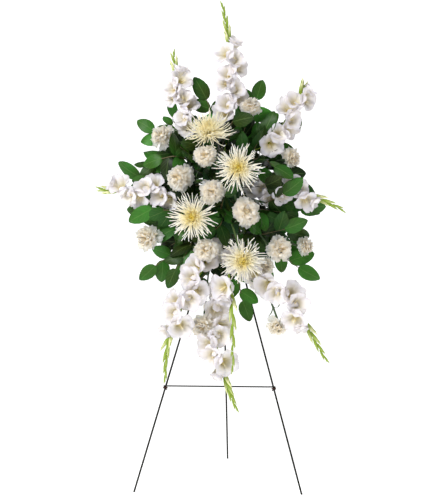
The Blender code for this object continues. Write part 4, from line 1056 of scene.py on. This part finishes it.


# Salal leaf: leathery and glossy. Its tone takes it from a near-black green to a light green, which is painted
# shade on the leaves inside the mass and painted light on the outer and front ones, with some chance in it, and
# olive patches of 75 mm and dull ones of 12 mm lie over that. The midrib fades with the distance from the middle,
# the side veins are the crests of a sine that slants back from it, and both are paler and a little sunken.
def leafFinish():
    look = salalLook
    made, tree, inputs = newFinish("salal_leaf_gloss", {"Roughness": 0.36, "Specular IOR Level": 0.16})
    surface = addNode(tree, "UVMap", uv_map="surface")
    across = addNode(tree, "SeparateXYZ", {0: surface}, 0)
    along = addNode(tree, "SeparateXYZ", {0: surface}, 1)
    fromMiddle = addNode(tree, "Math", {0: across, 1: 0.5}, operation="SUBTRACT")
    fromMiddle = addNode(tree, "Math", {0: fromMiddle}, operation="ABSOLUTE")
    fade = addNode(tree, "Math", {0: fromMiddle, 1: 28.0}, operation="MULTIPLY")
    midrib = addNode(tree, "Math", {0: 1.0, 1: fade}, operation="SUBTRACT", use_clamp=True)
    slant = addNode(tree, "Math", {0: fromMiddle, 1: 0.55}, operation="MULTIPLY")
    slant = addNode(tree, "Math", {0: along, 1: slant}, operation="SUBTRACT")
    turn = addNode(tree, "Math", {0: slant, 1: look["sideVeins"] * 2 * math.pi}, operation="MULTIPLY")
    crest = addNode(tree, "Math", {0: turn}, operation="SINE")
    crest = addNode(tree, "Math", {0: crest, 1: 0.86}, operation="SUBTRACT", use_clamp=True)
    crest = addNode(tree, "Math", {0: crest, 1: 2.6}, operation="MULTIPLY")
    lines = addNode(tree, "Math", {0: midrib, 1: crest}, operation="MAXIMUM")
    tone = addNode(tree, "Attribute", output="Fac", attribute_name="tone")
    # painted shade and painted light: the tone mixes from the shade green to the lit green
    colours = {0: tone, 6: hexColour(look["deep"]), 7: hexColour(look["light"])}
    green = addNode(tree, "Mix", colours, 2, data_type="RGBA")
    spot = addNode(tree, "TexCoord", output="Object")
    patches = addNode(tree, "TexNoise", {"Vector": spot, "Scale": 1000 / 75.0, "Detail": 1.0})
    patches = addNode(tree, "Math", {0: patches, 1: 0.42}, operation="SUBTRACT", use_clamp=True)
    patches = addNode(tree, "Math", {0: patches, 1: 2.2}, operation="MULTIPLY", use_clamp=True)
    green = addNode(tree, "Mix", {0: patches, 6: green, 7: hexColour(look["olive"])}, 2, data_type="RGBA")
    patches = addNode(tree, "TexNoise", {"Vector": spot, "Scale": 1000 / 12.0, "Detail": 3.0})
    patches = addNode(tree, "Math", {0: patches, 1: 0.35}, operation="MULTIPLY")
    green = addNode(tree, "Mix", {0: patches, 6: green, 7: hexColour(look["dull"])}, 2, data_type="RGBA")
    paler = addNode(tree, "Math", {0: lines, 1: 0.28}, operation="MULTIPLY")
    green = addNode(tree, "Mix", {0: paler, 6: green, 7: hexColour(look["vein"])}, 2, data_type="RGBA")
    tree.links.new(green, inputs["Base Color"])
    grain = addNode(tree, "TexNoise", {"Vector": spot, "Scale": 1000 / 5.0, "Detail": 3.0})
    sunken = addNode(tree, "Math", {0: lines, 1: 0.6}, operation="MULTIPLY")
    height = addNode(tree, "Math", {0: grain, 1: sunken}, operation="SUBTRACT")
    bump = addNode(tree, "Bump", {"Height": height, "Distance": 0.0004, "Strength": 1.0})
    tree.links.new(bump, inputs["Normal"])
    return made


# The leaves in a packed branch: a tip has three neighbours, one of them the ridge that rises 2.4 mm over
# the middle of the other two. Those stand 0.3109 of the length before the tip, where the leaf is 0.8 of
# its full breadth, and the tip has sunk by the whole arch.
def readLeaves(points, around):
    found = []
    for index, near in enumerate(around):
        if len(near) != 3:
            continue
        tip = points[index]
        for k in range(3):
            ridge, a, b = points[near[k]], points[near[k - 1]], points[near[k - 2]]
            middle, span = (a + b) / 2, np.linalg.norm(a - b)
            if abs(np.linalg.norm(ridge - middle) - 0.0024) > 1e-5 or span < 0.012:
                continue
            up, side = unit(ridge - middle), unit(b - a)
            d = np.cross(side, up)
            d *= np.sign(d @ (tip - middle))
            length = np.linalg.norm(tip - middle) / 0.3109
            root = tip - (d * length - up * salalLook["arch"] * length)
            found.append((root, d, up, length, span / 2 / 0.8))
            break
    return found


# A leaf's grid. Its breadth follows a sine of the place along it, raised to swell the base and point the
# tip. It arches down with the square of that place, twists along it, bulges across, sinks at the midrib,
# and its edges wave.
def leafGrids(roots, ways, ups, lengths, halves, draw):
    roots, ways, ups = (np.atleast_2d(x) for x in (roots, ways, ups))
    lengths, halves = np.atleast_1d(lengths), np.atleast_1d(halves)
    n, look = len(roots), salalLook
    v = (1 - np.cos(math.pi * np.linspace(0, 1, 9))) / 2
    u = np.linspace(-1, 1, 5)[None, :, None]
    side = np.cross(ups, ways)
    breadth = np.maximum(np.sin(math.pi * np.clip(v, 1e-6, 1 - 1e-6) ** 0.80) ** 0.58, 0.03)
    phase = draw.uniform(0, 2 * math.pi, (n, 1, 1))
    wave = look["edgeWave"] * np.sin(6.5 * v + phase) * u**2
    wave = wave + look["twist"] * draw.uniform(-1, 1, (n, 1, 1)) * halves[:, None, None] * u * v
    bulge = look["bulge"] * (1 - u**2) * np.sin(math.pi * v) - look["midribSink"] * (np.abs(u) < 0.1)
    height = wave + bulge - (look["arch"] * lengths)[:, None, None] * v**2
    grid = roots[:, None, None] + ways[:, None, None] * (lengths[:, None, None] * v)[..., None]
    grid = grid + side[:, None, None] * (u * breadth * halves[:, None, None])[..., None]
    return grid + ups[:, None, None] * height[..., None]


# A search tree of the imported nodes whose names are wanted.
def packedTree(wanted):
    points, faces, start = [], [], 0
    for name in frame["nodes"]:
        if not wanted(name):
            continue
        p, f, _ = readNode(name)
        points.append(p)
        faces.append(f + start)
        start += len(p)
    return BVHTree.FromPolygons(np.concatenate(points).tolist(), np.concatenate(faces).tolist())


flowerTree = packedTree(
    lambda name: name.endswith("_bloom") or (name.startswith("gladiolus_") and not name.endswith("_stem"))
)


# Flowers lie over the leaves in the viewer's eye. A leaf covers one where a ray from the viewer meets the
# leaf and then, within 30 cm, the flower. This is the share of some of the leaf's points for which that
# is so.
def coverOf(grid):
    points = grid[::2, 1::2].reshape(-1, 3)
    hits = [flowerTree.ray_cast(Vector(p), Vector(unit(p - viewer)), 0.30)[0] is not None for p in points]
    return sum(hits) / len(hits)


# A leaf that hides a flower is turned about its root, in its own plane, until it covers least.
def unhide(leaf):
    root, d, up, length, half = leaf
    best, most = None, salalLook["mostCover"]
    for angle in (0.0, 0.45, -0.45, 0.9, -0.9, 1.35, -1.35):
        way = turned(d, up, angle)
        share = coverOf(leafGrids(root, way, up, length, half, np.random.default_rng(1))[0])
        if best is None or share < best[0] - most:
            best = (share, way)
        if best[0] < most:
            break
    return root, best[1], up, length, half


# How light a leaf is, in painted shade and painted light: painted darkest far inside the middle of the oval,
# where the mass is in shade, and painted lighter with the 2.5th power of its distance out and a little lighter in
# front, where light falls on it; and lighter or darker by chance, with one leaf in six much lighter.
def leafShadeAndChance(grids, draw):
    middle = grids.mean(axis=(1, 2))
    out = np.hypot(middle[:, 0] / 0.27, (middle[:, 2] - salalLook["ovalHeight"]) / 0.29)
    forward = np.clip((-0.02 - middle[:, 1]) / 0.12, 0, 1)
    chance = draw.uniform(-0.28, 0.32, len(grids)) + (draw.uniform(0, 1, len(grids)) > 0.84) * 0.34
    return np.clip(0.42 * out**2.5 + 0.06 * forward + chance, 0, 1)


# The lines of a packed branch's twigs. They part 12 mm beyond the branch's straight start, and of the lines
# with their middle and their end moved by the bows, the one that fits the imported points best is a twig's.
def twigLines(title):
    face, place, twigs = salal[title]
    points = readNode("salal_" + title)[0]
    root = stemLine(face, place, [twigs[0][0], twigs[0][1]], 4)
    d = unit(root[1] - root[0])
    fork = root[1] + d * 0.012
    made = []
    for middle, end in twigs:
        start = [fork - d * 0.006, fork] if made else [root[0], root[1], fork]
        lines = []
        for far, x, z in itertools.product((0.0, 0.5, 1.0), bows, bows):
            move = np.array([x, 0, z])
            line = smoothLine([start[-1], np.array(middle) + move, np.array(end) + move * far], 5)
            lines.append(np.vstack([start[:-1], line]))
        radii = np.linspace(1.0, salalLook["taper"], len(lines[0])) * salalLook["twigRadius"]
        made.append(bestLine(points, lines, radii))
    return made


salalGloss = leafFinish()
twigBrown = stemFinish("salal_twig_bark", salalLook["bark"], salalLook["barkPale"])
leafDraw = np.random.default_rng(salalLook["seed"])
leafTotal = 0
for title in salal:
    node = "salal_" + title
    points, _, around = readNode(node)
    leaves = readLeaves(points, around)
    leafTotal += len(leaves)
    leaves = [unhide(leaf) for leaf in leaves]
    grids = leafGrids(*(np.array(x) for x in zip(*leaves)), leafDraw)
    # painted shade and painted light: each leaf's tone comes from its place in the mass, and from chance
    tone = np.broadcast_to(leafShadeAndChance(grids, leafDraw)[:, None, None], grids.shape[:3])
    sheets = closedSheets(grids, salalLook["thickness"], tone)
    makePiece(node + "_leaves", [sheets], salalGloss, [node])
    tubes = []
    for line in twigLines(title):
        fine = smoothLine(line, 22)
        radii = np.linspace(1.0, salalLook["taper"], 22) * salalLook["twigRadius"]
        tubes.append(sweptTubes([fine], radii, 6, 0.3))
    makePiece(node + "_twigs", tubes, twigBrown)
print("salal branches done,", leafTotal, "leaves")


# Filler leaves. Each is kept only where it crosses nothing set down before it, hides no flower, and stays
# out of the thin wedge that the rear leg folds through, behind the plane of the front legs.
packed = packedTree(lambda name: name != "easel_leg_rear")
leafFaces = gridQuads(np.arange(5 * 9).reshape(5, 9)).tolist()
setDown = []  # each filler leaf's search tree and the corners of its box
fillerGrids = []
# painted shade: the share of its tone that each filler leaf keeps is smaller for leaves further in and in the
# gaps, so they are painted darker
fillerShadeShares = []  # the share of its own tone that each filler leaf keeps
fillerDraw = np.random.default_rng(salalLook["seed"] + 1)


# Whether a leaf is clear, and then it is kept, with the share of its tone that paints its shade. Boxes that don't
# meet need no closer look.
def keepIfClear(grid, tone):
    look = salalLook
    flat = grid.reshape(-1, 3)
    low, high = flat.min(0), flat.max(0)
    legPlane = footLeft[1] + lean * low[2] - look["legRoom"]
    inWedge = low[0] < look["legHalf"] and high[0] > -look["legHalf"] and high[1] > legPlane
    if high[1] > look["furthestBack"] or inWedge:
        return False
    tree = BVHTree.FromPolygons(flat.tolist(), leafFaces)
    if tree.overlap(packed) or coverOf(grid) > look["mostCover"]:
        return False
    for other, otherLow, otherHigh in setDown:
        if (low < otherHigh).all() and (high > otherLow).all() and tree.overlap(other):
            return False
    setDown.append((tree, low, high))
    fillerGrids.append(grid)
    fillerShadeShares.append(tone)
    return True


# Twigs run from the foam to points that a golden-angle spiral spreads over the oval, nearer the front in
# its middle, and carry leaves to the left and right in turn.
def makeFillerTwigs():
    look, draw, lines = salalLook, fillerDraw, []
    for n in range(look["fillerTwigs"]):
        share = math.sqrt((n + 0.5) / look["fillerTwigs"])
        angle = n * goldenAngle
        x = look["ovalHalf"][0] * share * math.cos(angle)
        z = look["ovalHeight"] + look["ovalHalf"][1] * share * math.sin(angle)
        end = np.array([x, -0.160 + 0.140 * share**2 + draw.uniform(-0.02, 0.02), z])
        inside = np.clip([x * 0.45, 0.0, 0.0], -foamHalf[0] * 0.85, foamHalf[0] * 0.85)
        start = foamMiddle + inside + foamAxes[1] * np.clip((z - 0.86) * 0.7, -0.10, 0.10)
        start = start + foamAxes[2] * 0.02
        middle = (start + end) / 2 + unit(end - leafMiddle) * -0.01 + np.array([0, -0.012, 0])
        line = smoothLine([start, middle, end], 12)
        used = 0
        for k in range(look["fillerLeaves"]):
            at, behind = alongLine(line, [1.0 - 0.12 * k, 0.95 - 0.12 * k])
            way = unit(at - behind)
            side = 1 if k % 2 else -1
            facing = unit(at - leafMiddle) * 0.8 + np.array([0.0, -1.0, 0.15])
            for turn in (0.0, 0.5, -0.5, 1.0, -1.0, 1.5):
                up = turned(facing, way, draw.uniform(-0.6, 0.6) + turn)
                up = unit(up - way * (up @ way))
                opened = draw.uniform(0.4, 1.2) * side if k else draw.uniform(-0.3, 0.3)
                d = turned(way, up, opened)
                length = look["fillerLength"] * draw.uniform(0.60, 1.12)
                half = length * draw.uniform(0.30, 0.37)
                # painted shade: each leaf further in along the twig keeps 0.1 less of its tone, painted darker as
                # the mass shades it
                if keepIfClear(leafGrids(at + d * 0.002, d, up, length, half, draw)[0], 1.0 - 0.10 * k):
                    used += 1
                    break
        if used:
            lines.append(line)
    return lines


# Where a ray from the viewer still passes through the oval, a leaf is tried there, nearly square to the ray
# and turned by chance, at one depth after another. A thin stalk takes each to the nearest twig.
def closeGaps(lines):
    look, draw = salalLook, fillerDraw
    stalks = []
    joints = np.concatenate([alongLine(line, np.linspace(0.1, 0.9, 12)) for line in lines])
    trees = [packed] + [entry[0] for entry in setDown]
    steps = np.arange(-1, 1.01, look["gapStep"])
    for row, column in itertools.product(steps, steps):
        if row**2 + column**2 > 1:
            continue
        target = np.array([look["gapOval"][0] * column, 0.0, look["gapHeight"] + look["gapOval"][1] * row])
        way = unit(target - viewer)
        ray, source = Vector(way), Vector(viewer)
        trees += [entry[0] for entry in setDown[len(trees) - 1 :]]  # the leaves set down since the last ray
        if any(tree.ray_cast(source, ray)[0] for tree in trees):
            continue
        for depth in look["gapDepths"]:
            at = viewer + way * ((depth - viewer[1]) / way[1])
            angle = draw.uniform(0, 2 * math.pi)
            d = unit(np.array([math.cos(angle), draw.uniform(-0.3, 0.3), math.sin(angle)]))
            up = unit(-way + draw.uniform(-0.35, 0.35, 3))
            up = unit(up - d * (up @ d))
            length = look["fillerLength"] * draw.uniform(0.45, 1.0)
            root = at - d * length * 0.5
            # painted shade: a leaf set in a gap keeps only 0.55 of its tone, painted dark like the shaded inside
            # of the mass
            if keepIfClear(leafGrids(root, d, up, length, length * 0.35, draw)[0], 0.55):
                joint = joints[np.argmin(np.linalg.norm(joints - root, axis=1))]
                middle = (root + joint) / 2 - d * 0.006
                stalks.append(smoothLine([joint, middle, root + d * 0.002], 8))
                break
    return stalks


# All the filler leaves as one piece, and their twigs and stalks as another, thinner towards the leaves.
def makeFillers():
    look = salalLook
    lines = makeFillerTwigs()
    first = len(fillerGrids)
    stalks = closeGaps(lines)
    grids = np.array(fillerGrids)
    # painted shade: each filler leaf's painted shade and chance tone, times the share it keeps
    tone = leafShadeAndChance(grids, fillerDraw) * np.array(fillerShadeShares)
    tone = np.broadcast_to(tone[:, None, None], grids.shape[:3])
    sheets = closedSheets(grids, look["thickness"], tone)
    makePiece("salal_filler_leaves", [sheets], salalGloss)
    tubes = [sweptTubes(np.array(lines), np.linspace(*look["fillerTwigRadii"], 12), 5, 0.3)]
    if stalks:
        tubes.append(sweptTubes(np.array(stalks), np.linspace(*look["stalkRadii"], 8), 5, 0.2))
    makePiece("salal_filler_twigs", tubes, twigBrown)
    print("fillers done,", first, "leaves on", len(lines), "twigs and", len(stalks), "in gaps")


makeFillers()


# Stage: a white floor that sweeps up behind in a quarter circle, a broad key from the front left, and a
# white surround. The camera stands where the viewer is.
stageLook = {
    "floorColour": "#F4F4F4",
    "floorGlow": 0.62,
    "floorReach": 12.0,
    "floorHalf": 14.0,
    "wallBend": 3.0,
    "wallHeight": 14.0,
    "surround": 0.42,
    "keyPower": 134.0,
    "keyPlace": (-2.0, -3.2, 3.2),
    "keySize": 1.5,
    "keyAim": (0.0, -0.05, 0.85),
    "cameraWay": (-0.0646, 0.9964, -0.055),
    "lens": 99.1,
}


# The floor's section runs from the front to the bend, round it and up the wall.
def makeStage():
    look, scene = stageLook, bpy.context.scene
    turn, reach, bend = np.linspace(0.0, math.pi / 2, 9), look["floorReach"], look["wallBend"]
    run = np.concatenate([[-reach], reach + bend * np.sin(turn), [reach + bend]])
    rise = np.concatenate([[0.0], bend - bend * np.cos(turn), [look["wallHeight"]]])
    points = [(x, y, z) for x in (-look["floorHalf"], look["floorHalf"]) for y, z in zip(run, rise)]
    n = len(run)
    faces = [(i, n + i, n + i + 1, i + 1) for i in range(n - 1)]
    mesh = bpy.data.meshes.new("floor")
    mesh.from_pydata(points, [], faces)
    mesh.shade_smooth()
    settings = {
        "Roughness": 0.9,
        "Base Color": hexColour(look["floorColour"]),
        "Emission Color": (1.0, 1.0, 1.0, 1.0),
        "Emission Strength": look["floorGlow"],
    }
    mesh.materials.append(newFinish("white_paper", settings)[0])
    floor = bpy.data.objects.new("floor", mesh)
    lamp = bpy.data.lights.new("key", "AREA")
    lamp.shape, lamp.size, lamp.energy = "SQUARE", look["keySize"], look["keyPower"]
    key = bpy.data.objects.new("key", lamp)
    key.location = look["keyPlace"]
    key.rotation_euler = (Vector(look["keyAim"]) - key.location).to_track_quat("-Z", "Y").to_euler()
    world = bpy.data.worlds.new("surround")
    world.use_nodes = True
    background = world.node_tree.nodes["Background"].inputs
    background["Color"].default_value = (1.0, 1.0, 1.0, 1.0)
    background["Strength"].default_value = look["surround"]
    scene.world = world
    lensData = bpy.data.cameras.new("camera")
    lensData.lens, lensData.sensor_width = look["lens"], 36.0
    camera = bpy.data.objects.new("camera", lensData)
    camera.location = viewer.tolist()
    camera.rotation_euler = Vector(look["cameraWay"]).to_track_quat("-Z", "Y").to_euler()
    for item in (floor, key, camera):
        scene.collection.objects.link(item)
    scene.camera = camera
    scene.view_settings.view_transform = "Standard"
    print("stage done")


makeStage()
